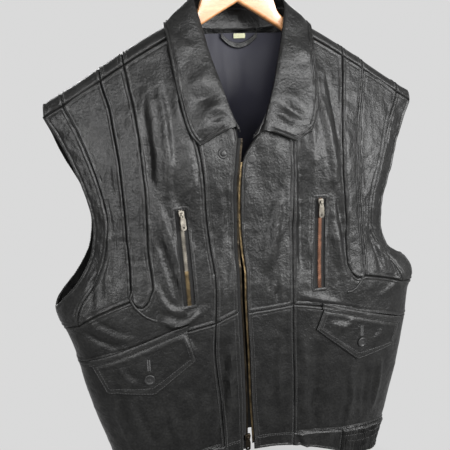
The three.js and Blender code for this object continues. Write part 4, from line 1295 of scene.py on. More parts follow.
def add_back():
    centre = joined(*(back_half(side, ("yoke", "waistband"), ("centre", "edge", "stripIn")) for side in "LR"))
    down, across = centre.centres()
    beside_neck = (across < centre.marks["edge_L"]) | (across > centre.marks["edge_R"])
    rows = double("column", "stripIn_L", 1) + double("column", "stripIn_R", -1)
    rows.append(("row", "waistband", -SINGLE_ROW))
    piece("back_centre", centre, rows, keep=(down > 0) | beside_neck)
    for side in "LR":
        strip = back_half(side, ("yoke", "waistband"), ("stripIn", "stripOut"))
        strip_rows = double("column", "stripIn", 1) + double("column", "stripOut", -1)
        piece(f"back_strip_{side}", strip, strip_rows, lift=STRIP_LIFT, crown=0.5, gather=flat_on_shoulder)
        flank = back_half(side, ("yoke", "stripEnd", "waistband"), ("stripOut", "band", "arm"))
        down, across = flank.centres()
        keep = (across < flank.marks["band"]) | (down > flank.marks["stripEnd"])
        piece(f"back_side_{side}", flank, double("column", "band", -1), keep=keep)
        band = back_half(side, ("yoke", "stripEnd"), ("band", "arm"), 3.2)
        piece(f"armhole_band_back_{side}", band, double("column", "arm", -1), gather=band_gather)
    band = joined(*(back_half(side, ("waistband", "hem"), ("centre", "stripOut")) for side in "LR"))
    band_rows = [("row", "waistband", SINGLE_ROW), ("row", "hem", -SINGLE_ROW)]
    piece("waistband_back", band, band_rows, lift=STRIP_LIFT)


RUCHE_PITCH = 7.6
RUCHE_HEIGHT = 3.4
RUCHE_ROWS = 4
ELASTIC_STEP = 1.9


def ruches(patch, distance):
    """Elastic folds, nipped by rows of stitches."""
    share = (patch.down - patch.down[0]) / (patch.down[-1] - patch.down[0])
    down, across = share[:, None], patch.across[None, :]
    phase = across / RUCHE_PITCH + 0.35 * noise(across, down * 30, 17, 8)
    fold = np.abs(np.sin(pi * phase)) ** 0.75
    nip = 0.5 + 0.5 * np.abs(np.sin(pi * RUCHE_ROWS * down)) ** 0.6
    height = 0.75 + 0.35 * noise(across, down * 20, 26, 9)
    return RUCHE_HEIGHT * fold * nip * height * np.clip(distance / 3, 0.25, 1)


def add_elastic(side):
    front = half_patch(FRONT[side], ("waistband", "hem"), ("stripIn", "arm"), ELASTIC_STEP)
    back = half_patch(BACK[side], ("waistband", "hem"), ("stripOut", "arm"), ELASTIC_STEP, FRONT[side])
    back_across = front.across[-1] + back.across[-1] - back.across[TURNED_BUT_LAST]
    across = np.concatenate([front.across, back_across])
    round_patch = glued(front.grids(), back.grids(TURNED_BUT_LAST), 1, front.down, across, front.marks)
    height = front.marks["hem"] - front.marks["waistband"]
    rows = [("row", "waistband", height * k / RUCHE_ROWS) for k in range(1, RUCHE_ROWS)]
    ends = [("row", "waistband", SINGLE_ROW), ("row", "hem", -SINGLE_ROW)]
    piece(f"waistband_side_{side}", round_patch, rows + ends, lift=STRIP_LIFT, gather=ruches)


def add_lining():
    rows, columns = ("yoke", "stripEnd"), ("centre", "band")
    patch = joined(*(half_patch(BACK[side], rows, columns, 6, BACK["R"]) for side in "LR"))
    keep = all_cells(patch.points)
    x, z = patch.points[..., 0], patch.points[..., 2]
    soft = 3.2 * noise(x, z * 0.2, 24, 41) + 1.2 * noise(x, z * 0.3, 12, 42)
    below_neck = np.clip((BACK_NECK_Z - 20 - z) / 70, 0, 1)
    sag = np.minimum(soft - 2, 0) * below_neck
    outer = patch.points + patch.normals * (sag - LEATHER - LINING_GAP)[..., None]
    obj = wall("lining_back_satin", outer, outer - patch.normals * SATIN, keep, SATIN_MATERIAL)
    attach(obj, "satin", "lining_back")


# Pocket flaps


TUCK = 0.6  # how far a laid piece's edge turns in below its underside
WELT_LENGTH = 145
WELT_SHARES = [0, 0.08, 0.2, 0.36, 0.5, 0.64, 0.8, 0.92, 1]
FLAP_FALL = 42
FLAP_STITCH = 8.5
FLAP_LINES = [0, 0.8, 1.8, 3.2, 5, 7]
FLAP_STEP = 3.2
BUTTONHOLE = {"height": 17, "width": 5, "slit": 0.3, "pitch": 0.9}
HEAVY_THREAD = {"radius": 0.42, "lift": 0.1}


def on_line(a, b, f):
    return mix(np.array(a, float), np.array(b, float), np.asarray(f, float)[..., None])


def cloth_sheet(node, side, places, lift, thickness, profile):
    """A piece of leather that lies on the front, over a grid of [outward x, z] places."""
    x, z = places[..., 0], places[..., 1]
    base, normals = skin(side, "front", x, z, lift)
    keep = all_cells(base)
    distance = border_distance(base, keep)
    crest = profile(distance) + 0.25 * noise(SIGN[side] * x, z, 9, 51) * np.clip(distance / 5, 0, 1)
    outer = base + normals * (thickness + crest)[..., None]
    inner = base - normals * (TUCK * np.exp(-distance / 6))[..., None]
    obj = leather_wall(f"{node}_leather", outer, inner, keep, edge_wear(distance), node)
    return outer, normals


def welt_profile(distance):
    return 0.5 - 1.3 * turned_edge(distance, 2.6)


def flap_profile(distance):
    """A thin turned edge, with grooves under two rows of stitches."""
    grooves = 0.2 * bump_at(distance, 2.4, 0.8) + 0.45 * bump_at(distance, FLAP_STITCH, 1.1)
    return 0.6 * bump_at(distance, 5.2, 2.6) - turned_edge(distance, 2.2) - grooves


def fine_share(length):
    """Shares of a length, with fine lines near both ends."""
    return np.array(fine_spots(0, length, FLAP_LINES, FLAP_STEP)) / length


def add_flap(side):
    flap = FLAPS[side]
    welt_ends = flap["welt"]["inner"], flap["welt"]["outer"]
    across = fine_share(WELT_LENGTH)
    edge = on_line(*welt_ends, across)
    places = np.stack([edge - [0, WELT_WIDTH * f] for f in WELT_SHARES])
    outer, normals = cloth_sheet(
        f"flap_welt_{side}", side, places, CROWN_GAP + 0.6, LEATHER + 0.4, welt_profile
    )
    thread = Thread()
    for row in (1, -2):
        thread.line(outer[row, 2:-2], normals[row, 2:-2])

    hinge = on_line(*welt_ends, 0.015 + 0.96 * across) - [0, WELT_WIDTH + 0.4]
    left = on_line(flap["inner"], flap["corner"], np.clip(across * 2, 0, 1))
    right = on_line(flap["corner"], flap["outer"], np.clip(across * 2 - 1, 0, 1))
    foot = np.where(across[:, None] < 0.5, left, right)
    fall = fine_share(FLAP_FALL)
    places = np.stack([mix(hinge, foot, g) for g in fall])
    outer, normals = cloth_sheet(f"flap_{side}", side, places, CROWN_GAP + 0.8, LEATHER + 0.2, flap_profile)
    for distance in (SINGLE_ROW, FLAP_STITCH):
        row = outer.shape[0] - 1 - nearest(fall * FLAP_FALL, distance)
        first = nearest(across * WELT_LENGTH, distance)
        last = outer.shape[1] - 1 - first
        thread.line(outer[row, first : last + 1], normals[row, first : last + 1])
        for column in (first, last):
            thread.line(outer[: row + 1, column], normals[: row + 1, column])
    sew_buttonhole(thread, side, flap["hole"], CROWN_GAP + LEATHER + 1.0)
    add_button(thread, side, flap["button"], CROWN_GAP + LEATHER + 1.3)
    thread.make(f"flap_{side}_thread")


def sew_buttonhole(thread, side, place, lift):
    """Close bars of thread round a slit."""
    reach = BUTTONHOLE["height"] / 2
    for edge in (-1, 1):
        for dz in np.arange(-reach, reach + 0.1, BUTTONHOLE["pitch"]):
            x = place[0] + edge * np.array([BUTTONHOLE["slit"], BUTTONHOLE["width"] / 2])
            ends, normals = skin(side, "front", x, np.full(2, place[1] + dz), lift)
            thread.stitch(ends[0], ends[1], normals[0], **HEAVY_THREAD)


def axes_at(normal):
    """Right, up and outward directions of a piece that stands on the cloth."""
    up = unit(np.array([0, 0, 1.0]) - normal * normal[2])
    return np.array([np.cross(up, normal), up, normal])


def stood(points, spot, lift):
    """Local points, +Z out of the cloth and +Y up, placed on a spot of the smooth form."""
    origin, normal = spot
    return origin + normal * lift + points @ axes_at(normal)


def add_button(thread, side, place, lift):
    r = BUTTON_RADIUS
    profile = [
        [0, 0], [r - 1.2, 0], [r - 0.3, 0.3], [r, 1.1], [r - 0.4, 1.9], [r - 1.4, 2.4],
        [r - 2.4, 2.3], [r - 3.2, 1.7], [r - 4, 1.5], [0, 1.5],
    ]
    spot = skin(side, "front", *place)
    add_turned(f"button_{side}", profile, spot, lift, f"flap_button_{side}")
    for dx in (-1.2, 1.2):
        ends = stood(np.array([[dx, -1.5, 0], [dx, 1.5, 0]]), spot, lift + 1.6)
        thread.stitch(ends[0], ends[1], spot[1], **HEAVY_THREAD)


def add_turned(name, profile, spot, lift, replaced):
    """A turned piece of black plastic that stands on the cloth."""
    points, faces = lathe(profile)
    obj = mesh_object(name, stood(points, spot, lift), faces, PLASTIC_MATERIAL, smooth_angle=60)
    attach(obj, "black_plastic", replaced)


# Zips

RIBBON_WEAR = 0.45


def chest_line(side, f, by=0.0):
    """Place on a chest zip's line at a share of its length, which may be extended at both ends."""
    top, bottom = zip_ends(side)
    return top + (bottom - top) * (f + by * (2 * f - 1) / np.linalg.norm(bottom - top))


def ribbon(name, side, line, offsets, heights, material, slot, *replaced, bottom=-1.0, closed=False):
    """A band along a line of places, with a height for each offset across it."""
    line = np.asarray(line, float)
    along = unit(np.roll(line, -1, 0) - np.roll(line, 1, 0) if closed else np.gradient(line, axis=0))
    across = np.stack([-along[:, 1], along[:, 0]], 1)
    places = line[:, None] + across[:, None] * np.asarray(offsets, float)[None, :, None]
    base, normals = skin(side, "front", places[..., 0], places[..., 1])
    heights = np.broadcast_to(np.asarray(heights, float), places.shape[:2])
    outer = base + normals * heights[..., None]
    inner = base + normals * (np.minimum(heights, 0) + bottom)[..., None]
    if closed:
        outer, inner = (np.concatenate([grid, grid[:1]]) for grid in (outer, inner))
    obj = wall(name, outer, inner, all_cells(outer), material, np.full(outer.shape[:2], RIBBON_WEAR))
    attach(obj, slot, *replaced)
    return outer, normals


def rounded_frame(side, out):
    """Closed line round a chest zip's window, a little outside it."""
    top = chest_line(side, 0)
    down = unit(chest_line(side, 1) - top)
    right = np.array([-down[1], down[0]])
    length = np.linalg.norm(chest_line(side, 1) - top)
    half = ZIP_WINDOW_WIDTH / 2 + out
    corner = 3.5
    places = []
    for cx, cz, start in (
        (half - corner, length + out - corner, 0),
        (corner - half, length + out - corner, 90),
        (corner - half, corner - out, 180),
        (half - corner, corner - out, 270),
    ):
        for turn in np.radians(start + np.arange(0, 91, 22.5)):
            places.append((cx + corner * cos(turn), cz + corner * sin(turn)))
    dense = []
    for a, b in zip(places, places[1:] + places[:1]):
        count = max(1, round(np.hypot(b[0] - a[0], b[1] - a[1]) / 4))
        dense += [mix(np.array(a), np.array(b), k / count) for k in range(count)]
    return np.array([top + right * x + down * z for x, z in dense])


TOOTH_REACH = 2.9
TOOTH_POINTS = np.array(
    [
        [x, y, z]
        for z in (0, 1.5)
        for x, y in ((0, -0.45), (2.3, -0.6), (TOOTH_REACH, 0), (2.3, 0.6), (0, 0.45))
    ]
)
TOOTH_FACES = [
    (4, 3, 2, 1, 0), (5, 6, 7, 8, 9), (0, 1, 6, 5), (1, 2, 7, 6), (2, 3, 8, 7), (3, 4, 9, 8), (4, 0, 5, 9),
]


def teeth(name, side, line, directions, foot, pitch, reach, material, *replaced):
    """A row of metal teeth along a line of places, which point in each of the directions in turn."""
    line = np.asarray(line, float)
    run = run_of(line)
    places = on_run(line, run, np.arange(pitch / 2, run[-1], pitch))
    points, normals = skin(side, "front", places[:, 0], places[:, 1])
    along = unit(np.gradient(points, axis=0))
    back = reach * 0.55 if len(directions) == 2 else 0  # meshed teeth reach past the line
    tooth = TOOTH_POINTS * [reach / TOOTH_REACH, 1, 1] - [back, 0, 0]
    all_points = []
    faces = []
    for n, (p, up, way) in enumerate(zip(points, normals, along)):
        out = np.cross(way, up) * directions[n % len(directions)]
        all_points.append(p + up * foot + tooth @ np.array([out, way, up]))
        faces += shifted(TOOTH_FACES, n * len(tooth))
    obj = mesh_object(name, np.concatenate(all_points), faces, material, smooth_angle=30)
    attach(obj, "zip_metal", *replaced)


SLIDER_OUTLINE = [
    (-0.34, -0.5), (0.34, -0.5), (0.42, -0.1), (0.5, 0.3), (0.42, 0.5), (0.16, 0.56), (-0.16, 0.56),
    (-0.42, 0.5), (-0.5, 0.3), (-0.42, -0.1),
]


def add_slider(name, spot, lift, size, material, slot, replaced):
    """A zip slider: two plates waisted at the foot, and the bridge that its tab hangs from."""
    width, length, height = size
    rings = [(0.9, 0), (1, 0.3), (1, height - 0.5), (0.94, height - 0.15), (0.82, height)]
    points = [[x * width * s, y * length * s, z] for s, z in rings for x, y in SLIDER_OUTLINE]
    arch, arch_faces = bridge_mesh(length * 0.62, width * 0.26, height, 2.2)
    faces = tube_faces(len(rings), len(SLIDER_OUTLINE)) + shifted(arch_faces, len(points))
    obj = mesh_object(name, stood(np.array(points + arch), spot, lift), faces, material, smooth_angle=35)
    attach(obj, slot, replaced)


BRIDGE_THICKNESS = 0.7
BRIDGE_STEPS = 8


def bridge_mesh(length, width, foot, rise):
    """A small arch of square section, from end to end of a slider's plate."""
    corners = [(-0.5, -0.5), (0.5, -0.5), (0.5, 0.5), (-0.5, 0.5)]
    points = []
    for k in range(BRIDGE_STEPS + 1):
        turn = pi * k / BRIDGE_STEPS
        y = length / 2 * cos(turn)
        z = foot - 0.3 + rise * sin(turn) ** 0.6
        points += [[width * across, y, z + BRIDGE_THICKNESS * up] for across, up in corners]
    return points, [face[::-1] for face in tube_faces(BRIDGE_STEPS + 1, len(corners))]


def carried_over(node, material, bevel):
    """A CAD node whose shape stays, with softened edges and its own finish."""
    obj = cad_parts[node]
    obj.data.materials.clear()
    obj.data.materials.append(material)
    soft = obj.modifiers.new("soft_edges", "BEVEL")
    soft.width = bevel * MM
    soft.segments = 2
    soft.limit_method = "ANGLE"
    soft.angle_limit = radians(40)


RIDGE_TAILS = {
    "L": [[184, -522], [180, -532], [173, -541], [165, -549], [156, -555], [149, -558]],
    "R": [[170, -522], [167, -532], [162, -541], [155, -548], [147, -552], [139, -552]],
}
RIDGE_OFFSETS = np.array([-2.3, -1.9, -1.1, 0, 1.1, 1.9, 2.3])
RIDGE_RISE = np.array([-0.4, 0.9, 1.9, 2.3, 1.9, 0.9, -0.4])


def add_seam_ridge(side):
    """The raised seam along the strip's outer edge, which runs on past its end in a curve."""
    top = yoke_end(side, "stripOut")[1]
    z = np.linspace(top - 1, -512, 90)
    line = np.concatenate([np.stack([seam_x(side, "stripOut", z) - 2.6, z], 1), RIDGE_TAILS[side]])
    run = run_of(line)
    even = np.arange(0, run[-1], 2.5)
    to_end = run[-1] - even
    on_strip = np.clip((to_end - 40) / 14, 0, 1)
    size = np.clip(to_end / 16, 0.15, 1) ** 0.6
    heights = STRIP_LIFT * on_strip[:, None] + RIDGE_RISE * size[:, None]
    ribbon(
        f"seam_ridge_{side}", side, on_run(line, run, even), RIDGE_OFFSETS, heights,
        LEATHER_MATERIAL, "leather", bottom=-0.6,
    )


TAPE_LIFT = -1.8
CHAIN_LIFT = -1.2
CHAIN_TURNS_AT = 0.62  # the left chain is bare nickel down to here and brass below


def add_chest_zip(side):
    shares = np.linspace(0, 1, 36)
    line = np.array([chest_line(side, f, 4) for f in shares])
    half = ZIP_WINDOW_WIDTH / 2 + 4
    offsets = np.array([-half, -6, -4.2, -3.4, -1.5, 1.5, 3.4, 4.2, 6, half])
    heights = np.array([0, 0, 0.1, 0.7, 0.5, 0.5, 0.7, 0.1, 0, 0]) + TAPE_LIFT
    ribbon(
        f"zip_tape_{side}_cloth", side, line, offsets, heights, TAPE_MATERIAL, "zip_tape",
        f"zip_tape_{side}", bottom=-0.8,
    )
    chain = np.array([chest_line(side, f, -1) for f in shares])
    upper, lower = (NICKEL_MATERIAL, BRASS_MATERIAL) if side == "L" else (COPPER_MATERIAL, COPPER_MATERIAL)
    turn = round(CHAIN_TURNS_AT * len(chain))
    teeth(
        f"zip_chain_{side}_upper", side, chain[: turn + 1], (-1, 1), CHAIN_LIFT, 1.45, CHAIN_WIDTH, upper,
        f"zip_chain_{side}",
    )
    teeth(f"zip_chain_{side}_lower", side, chain[turn:], (-1, 1), CHAIN_LIFT, 1.45, CHAIN_WIDTH, lower)
    lip = rounded_frame(side, 2.3)
    outer, normals = ribbon(
        f"zip_lip_{side}", side, lip, [-3.2, -2.9, -1.4, 0.4, 1.9, 2.4],
        [-1.2, 0.3, 0.75, 0.8, 0.3, -1.2], LEATHER_MATERIAL, "leather", bottom=-0.4, closed=True,
    )
    thread = Thread()
    thread.line(outer[:, 1], np.concatenate([normals, normals[:1]])[:, 1])
    thread.make(f"zip_lip_{side}_thread")
    spot = nodes_at(side, "front", *chest_line(side, 0.055))
    add_slider(
        f"zip_slider_{side}_body", spot, -0.4, (9.4, 10.5, 3.2), NICKEL_MATERIAL, "steel",
        f"zip_slider_{side}",
    )
    carried_over(f"zip_pull_{side}", NICKEL_MATERIAL, 0.3)


def edge_line(side, start, end, count=90):
    z = np.linspace(start, end, count)
    return np.stack([seam_x(side, "edge", z), z], 1)


TAPE_REACH = {"L": 4.4, "R": 0.0}
TAPE_TAIL = {"z": -762, "end": {"L": -797, "R": -788}, "reach": {"L": 8.5, "R": 0.0}, "depth": 8.5}


def add_front_tape(side, start):
    """Tape that reaches past the leather's edge; its tail is tucked in behind the slider."""
    line = edge_line(side, start, TAPE_TAIL["end"][side], 150)
    tucked = np.clip((TAPE_TAIL["z"] - line[:, 1]) / 6, 0, 1)
    line[:, 0] -= mix(TAPE_REACH[side], TAPE_TAIL["reach"][side], tucked)
    across = np.array([-0.2, 0.6, 2.5, 6, 17])
    heights = np.array([-2.7, -2.4, -2.9, -2.9, -2.9]) - TAPE_TAIL["depth"] * tucked[:, None]
    ribbon(
        f"front_tape_{side}_cloth", side, line, across, heights, TAPE_MATERIAL, "zip_tape",
        f"front_tape_{side}", bottom=-0.8,
    )


def add_front_zip():
    for side in "LR":
        ends = FRONT_ZIP[side]
        add_front_tape(side, ends["start"])
        line = edge_line(side, ends["start"], ends["end"]) - [TAPE_REACH[side], 0]
        # The left row is painted dark as painted shade, for the shadow along the left front's edge; the right
        # row keeps its brass.
        material = BRASS_MATERIAL if side == "R" else DARK_METAL_AND_PAINTED_SHADE_MATERIAL
        teeth(
            f"front_teeth_{side}_metal", side, line, (SIGN[side],), -3.6, 1.7, 2.9, material,
            f"front_teeth_{side}",
        )
    z = FRONT_ZIP["L"]["end"] - 6
    spot = nodes_at("L", "front", float(seam_x("L", "edge", z)) - 7.5, z)
    add_slider(
        "front_slider_body", spot, -7, (9.4, 11.4, 3.9), DARK_METAL_AND_PAINTED_SHADE_MATERIAL, "zip_metal", "front_slider"
    )
    carried_over("front_pull", DARK_METAL_AND_PAINTED_SHADE_MATERIAL, 0.3)


def add_snaps():
    r = SNAP_RADIUS
    stud = [
        [0, 0], [r - 0.4, 0], [r, 0.5], [r - 0.5, 1.2], [r - 1.8, 1.5], [r - 2.6, 0.9], [r - 3.4, 1.1],
        [r - 3.6, 2.7], [r - 4.2, 3.2], [0, 3.2],
    ]
    cap = [
        [0, 0], [r - 1, 0], [r - 0.8, 0.5], [r - 1.4, 1.2], [r - 2.6, 1.6], [r - 4, 1.5], [0, 1.7],
    ]
    for name, side, place, profile in (
        ("snap_stud", "L", (43, -331), stud),
        ("snap_cap", "R", (-2, -341), cap),
    ):
        add_turned(f"{name}_ring", profile, skin(side, "front", *place), 0.2, name)


# Collar


def collar_through(values, u):
    """Smooth place on one of the collar's lines, u counting table rows from the left front end."""
    return np.stack([curve(range(len(values)), values[:, k], u) for k in range(3)], -1)


def collar_lines():
    rows = {}
    for side in "LR":
        places = np.array(COLLAR[side], float).reshape(-1, 3, 3)
        places[..., 0] *= SIGN[side]
        rows[side] = places
    both = np.concatenate([rows["L"][::-1], rows["R"][1:]])
    return both[:, 0], both[:, 1], both[:, 2]


COLLAR_ROWS = (3.4, 7.6)  # distances of the two rows of stitches round the collar's edge
COLLAR_LINES = [0, 0.7, 1.6, 2.6, 3.4, 4.4, 5.5, 6.6, 7.6, 8.8, 10.5]
ROLL_LIFT = 2.4


def collar_creases(u, f):
    """Folds across both leaves near their front ends and soft ones round the back."""
    rise = 1.7 * noise(u * 24, f * 26, 17, 61) + 0.9 * noise(u * 24, f * 26, 8, 62)
    for place, start, end, width, height in (
        (1.55, 0.12, 0.75, 0.16, -3.0),
        (1.15, 0.05, 0.55, 0.15, 2.6),
        (0.75, 0.1, 0.6, 0.14, -1.8),
        (2.1, 0.2, 0.8, 0.2, 1.6),
        (3.4, 0.35, 0.85, 0.3, 1.2),
        (14.75, 0.15, 0.8, 0.16, -3.0),
        (15.15, 0.1, 0.6, 0.14, 2.6),
        (14.3, 0.2, 0.8, 0.2, 1.8),
        (13.1, 0.3, 0.8, 0.3, -1.0),
        (8.0, 0.2, 0.7, 0.4, -1.0),
    ):
        slant = 0.35 * (f - 0.4)
        q = (u - place - slant) / width
        swell = np.sin(pi * np.clip((f - start) / (end - start), 0, 1))
        rise = rise + height * swell * np.exp(-q * q)
    return rise


LEAF_WIDTH = 62
LEAF_ENDS = np.array([0, 0.02, 0.045, 0.07, 0.1, 0.13, 0.16, 0.19, 0.22, 0.25, 0.29])
LEAF_SHARES = np.concatenate(
    [np.linspace(0, 0.2, 6), np.linspace(0.25, 0.8, 18), 1 - np.array(COLLAR_LINES[::-1]) / LEAF_WIDTH]
)
UNDER_SHARES = [0.66, 0.76, 0.86, 0.94]  # the leaf's seam side rises along the stand at these
STAND_SHARES = np.concatenate([[0.0, 0.02, 0.05, 0.1], np.linspace(0.16, 0.52, 6), [0.57, 0.61, 0.63]])


def add_collar():
    neck, fold, edge = collar_lines()
    last = len(neck) - 1
    u = np.concatenate([LEAF_ENDS, np.arange(0.34, last - 0.33, 0.075), last - LEAF_ENDS[::-1]])
    neck, fold, edge = (collar_through(line, u) for line in (neck, fold, edge))
    away = edge - fold
    out = unit(np.stack([away[:, 0] * 0.3, np.where(fold[:, 1] > 10, 30, -30), np.full(len(u), 18)], 1))
    add_collar_leaf(u, neck, fold, edge, out)
    add_collar_stand(u, neck, fold, out)


def grid_normals(points, out, column):
    """Normals of a grid, on the side that the outward directions show at one of its columns."""
    normals = unit(np.cross(np.gradient(points, axis=0), np.gradient(points, axis=1)))
    return -normals if np.sum(normals[:, column] * out) < 0 else normals


def add_collar_leaf(u, neck, fold, edge, out):
    under = [mix(neck, fold, g) - out for g in UNDER_SHARES]
    leaf = [
        mix(fold, edge, g) + out * (ROLL_LIFT * np.exp(-g * 14) + COLLAR_BULGE * sin(pi * np.sqrt(g)))
        for g in LEAF_SHARES
    ]
    points = np.stack(under + leaf, 1)
    normals = grid_normals(points, out, -3)
    keep = all_cells(points)
    from_seam = np.linalg.norm(points - points[:, :1], axis=-1)
    distance = border_distance(points, keep)
    distance = np.where(from_seam < 16, np.maximum(distance, 12), distance)

    share = np.concatenate([np.zeros(len(under)), LEAF_SHARES])[None, :]
    on_leaf = np.clip(share * 5, 0, 1)
    creases = collar_creases(u[:, None] * np.ones_like(share), np.ones((len(u), 1)) * share)
    cloth = creases * on_leaf * np.clip(distance / 16, 0.15, 1)
    grooves = sum(0.6 * bump_at(distance, row, 0.9) for row in COLLAR_ROWS)
    ridges = sum(0.8 * bump_at(distance, row - 2, 1.2) for row in COLLAR_ROWS)
    crest = ridges - grooves - turned_edge(distance, 1.4)
    outer = points + normals * (crest + cloth)[..., None]
    inner = points + normals * (cloth - LEATHER)[..., None]
    wear = edge_wear(distance, extra=0.1 * creases * on_leaf)
    obj = leather_wall("collar_leaf_leather", outer, inner, keep, wear, "collar_leaf")
    sew_leaf(outer, normals, distance, len(under) + 3)


def sew_leaf(outer, normals, distance, first):
    """Rows of stitches along the leaf's edge and, from its first column on, at both of its ends."""
    rows, columns = distance.shape
    thread = Thread()
    for inset in COLLAR_ROWS:
        column = nearest(distance[rows // 2, columns // 2 :], inset) + columns // 2
        start = int(np.argmax(distance[:, column] >= inset - 0.6))
        thread.line(outer[start : rows - start, column], normals[start : rows - start, column])
        end = nearest(distance[: rows // 4, columns - 8], inset)
        for row in (end, rows - 1 - end):
            thread.line(outer[row, first : column + 1], normals[row, first : column + 1])
    thread.make("collar_leaf_thread")


def add_collar_stand(u, neck, fold, out):
    f = STAND_SHARES
    points = np.stack([mix(neck, fold, g) - out for g in f], 1)
    normals = grid_normals(points, out, 3)
    keep = all_cells(points)
    distance = border_distance(points, keep)
    wrinkle = 0.7 * noise(u[:, None] * 24, f[None, :] * 46, 13, 71)
    crease = -1.6 * bump_at(u, 8.25, 0.12)[:, None] * np.sin(pi * f / f[-1])[None, :]
    height = (wrinkle + crease) * np.clip(distance / 6, 0, 1)
    outer = points + normals * height[..., None]
    inner = points + normals * (height - LEATHER - seam_profile(distance, 0.8, 0.4))[..., None]
    obj = leather_wall(
        "collar_stand_leather", outer, inner, keep, edge_wear(distance, 0.7), "collar_stand"
    )
    thread = Thread()
    for k in (2, -3):
        thread.line(inner[:, k], -normals[:, k])
    thread.make("collar_stand_thread")


# Inside the back neck

LOOP = {"x": 8, "z": -167, "reach": 28, "dip": 15}
# Across the strap: drop from its upper edge, height, and how rubbed it is
LOOP_PROFILE = [
    (0, -0.5, 0.2), (0.4, 0.2, 0.9), (1.2, 0.45, 0.9), (2.4, 0.2, 0.5), (4, 0.45, 0.9), (5.6, 0.2, 0.5),
    (6.8, 0.45, 0.9), (7.6, 0.2, 0.9), (8.0, -0.5, 0.2),
]
LABEL = {"x": 10, "z": -172, "width": 18, "height": 7}
INSIDE = LEATHER + LINING_GAP + SATIN


def neck_inside(x, z, depth):
    """Place on the inside of the back neck, with its normal towards the body."""
    points, normals = nodes_at("L" if x < 0 else "R", "back", abs(x), z)
    return points - depth * normals, -normals


def neck_grid(rows):
    """Points and normals at rows of x, z and depth inside the back neck."""
    spots = np.array([[neck_inside(*place) for place in row] for row in rows])
    return spots[:, :, 0], spots[:, :, 1]


def loop_row(k):
    """The strap's places across it, k running from -1 to 1 along it."""
    x = LOOP["x"] + LOOP["reach"] * k
    z = LOOP["z"] - LOOP["dip"] * (1 - k * k)
    return [(x, z - drop, INSIDE + 4.2 + height) for drop, height, _ in LOOP_PROFILE]


def add_hanging_loop():
    outer, normals = neck_grid([loop_row(k) for k in np.linspace(-1, 1, 41)])
    wear = np.tile([rubbed for _, _, rubbed in LOOP_PROFILE], (len(outer), 1))
    leather_wall(
        "hanging_loop_strap", outer, outer - normals * 1.3, all_cells(outer), wear, "hanging_loop"
    )
    thread = Thread()
    for column in (2, 4, 6):
        thread.line(outer[:, column], normals[:, column])
    thread.make("hanging_loop_thread")


def label_place(a, b):
    """Place on the label, a and b running over its width and height from the middle."""
    sag = 0.25 * sin(6 * a + 4 * b)
    return LABEL["x"] + a * LABEL["width"], LABEL["z"] + b * LABEL["height"], INSIDE + 2.4 + sag


def add_size_label():
    rows = [[label_place(a, b) for a in np.linspace(-0.5, 0.5, 11)] for b in np.linspace(0.5, -0.5, 6)]
    outer, normals = neck_grid(rows)
    obj = wall("size_label_cloth", outer, outer - normals * 0.5, all_cells(outer), LABEL_MATERIAL)
    attach(obj, "label", "size_label")


# Hanger

HANGER_END = 221
CORNER_STEPS = 5
HOOK_TURN = 291.6  # degrees of the wire's bend
HOOK_TIP = (0.55, 0.85, 0.97)  # the wire's tip is rounded off


def add_hanger_bar():
    edges = np.array(HANGER_EDGES, float)
    half = np.concatenate([np.linspace(0, HANGER_END - 5, 82), [218, 219.5, 220.5, HANGER_END]])
    rings = []
    for x in np.concatenate([-half[:0:-1], half]):
        top, under = (float(curve(edges[:, 0], edges[:, k], abs(x))) for k in (1, 2))
        round_by = min(HANGER_EDGE_ROUND, (top - under) / 2 - 0.2)
        thin = HANGER_THICKNESS / 2 * (1 - 0.25 * (abs(x) / HANGER_END) ** 6)
        ring = []
        for sy, sz, quarter in ((1, 1, 0), (-1, 1, 1), (-1, -1, 2), (1, -1, 3)):
            for k in range(CORNER_STEPS + 1):
                turn = (quarter + k / CORNER_STEPS) * QUARTER_TURN
                y = sy * (thin - round_by) + round_by * cos(turn)
                z = (top - round_by if sz > 0 else under + round_by) + round_by * sin(turn)
                ring.append([x, y, z])
        rings.append(np.array(ring))
    attach(mesh_object("hanger", *loft(rings), WOOD_MATERIAL, smooth_angle=60), "wood", "hanger_bar")


def add_hook():
    """The wire rises out of the bar through a ferrule and bends round to a rounded tip."""
    bar_top = HANGER_EDGES[0][1]
    r = HOOK_INNER + HOOK_WIRE
    turns = np.radians(-90 + np.linspace(0, HOOK_TURN, 73))
    path = [[0, 0, z] for z in np.linspace(bar_top - 3, -HOOK_INNER - r - 3, 14)]
    path += [[r * cos(turn), 0, -HOOK_INNER + r * sin(turn)] for turn in turns]
    path = np.array(path)
    side = np.array([0, 1.0, 0])
    rings = []
    for k, (p, way) in enumerate(zip(path, unit(np.gradient(path, axis=0)))):
        left = len(path) - 1 - k
        size = HOOK_WIRE * HOOK_TIP[left] if left < len(HOOK_TIP) else HOOK_WIRE
        up = np.cross(way, side)
        rings.append(np.array([p + size * (np.cos(a) * side + np.sin(a) * up) for a in circle(16)]))
    attach(mesh_object("hook_wire", *loft(rings), STEEL_MATERIAL, smooth_angle=60), "steel", "hanger_hook")

    profile = [[0, 0], [5.2, 0], [5.6, 0.6], [5.2, 1.4], [3.2, 2.6], [2.3, 3.4], [0, 3.6]]
    points, faces = lathe(profile, 24)
    points = points + [0, 0, bar_top - 0.2]
    attach(mesh_object("hook_ferrule", points, faces, STEEL_MATERIAL, smooth_angle=50), "steel")


# Scene


BACKDROP = 0.7
FLOOR_HEIGHT = -1.25


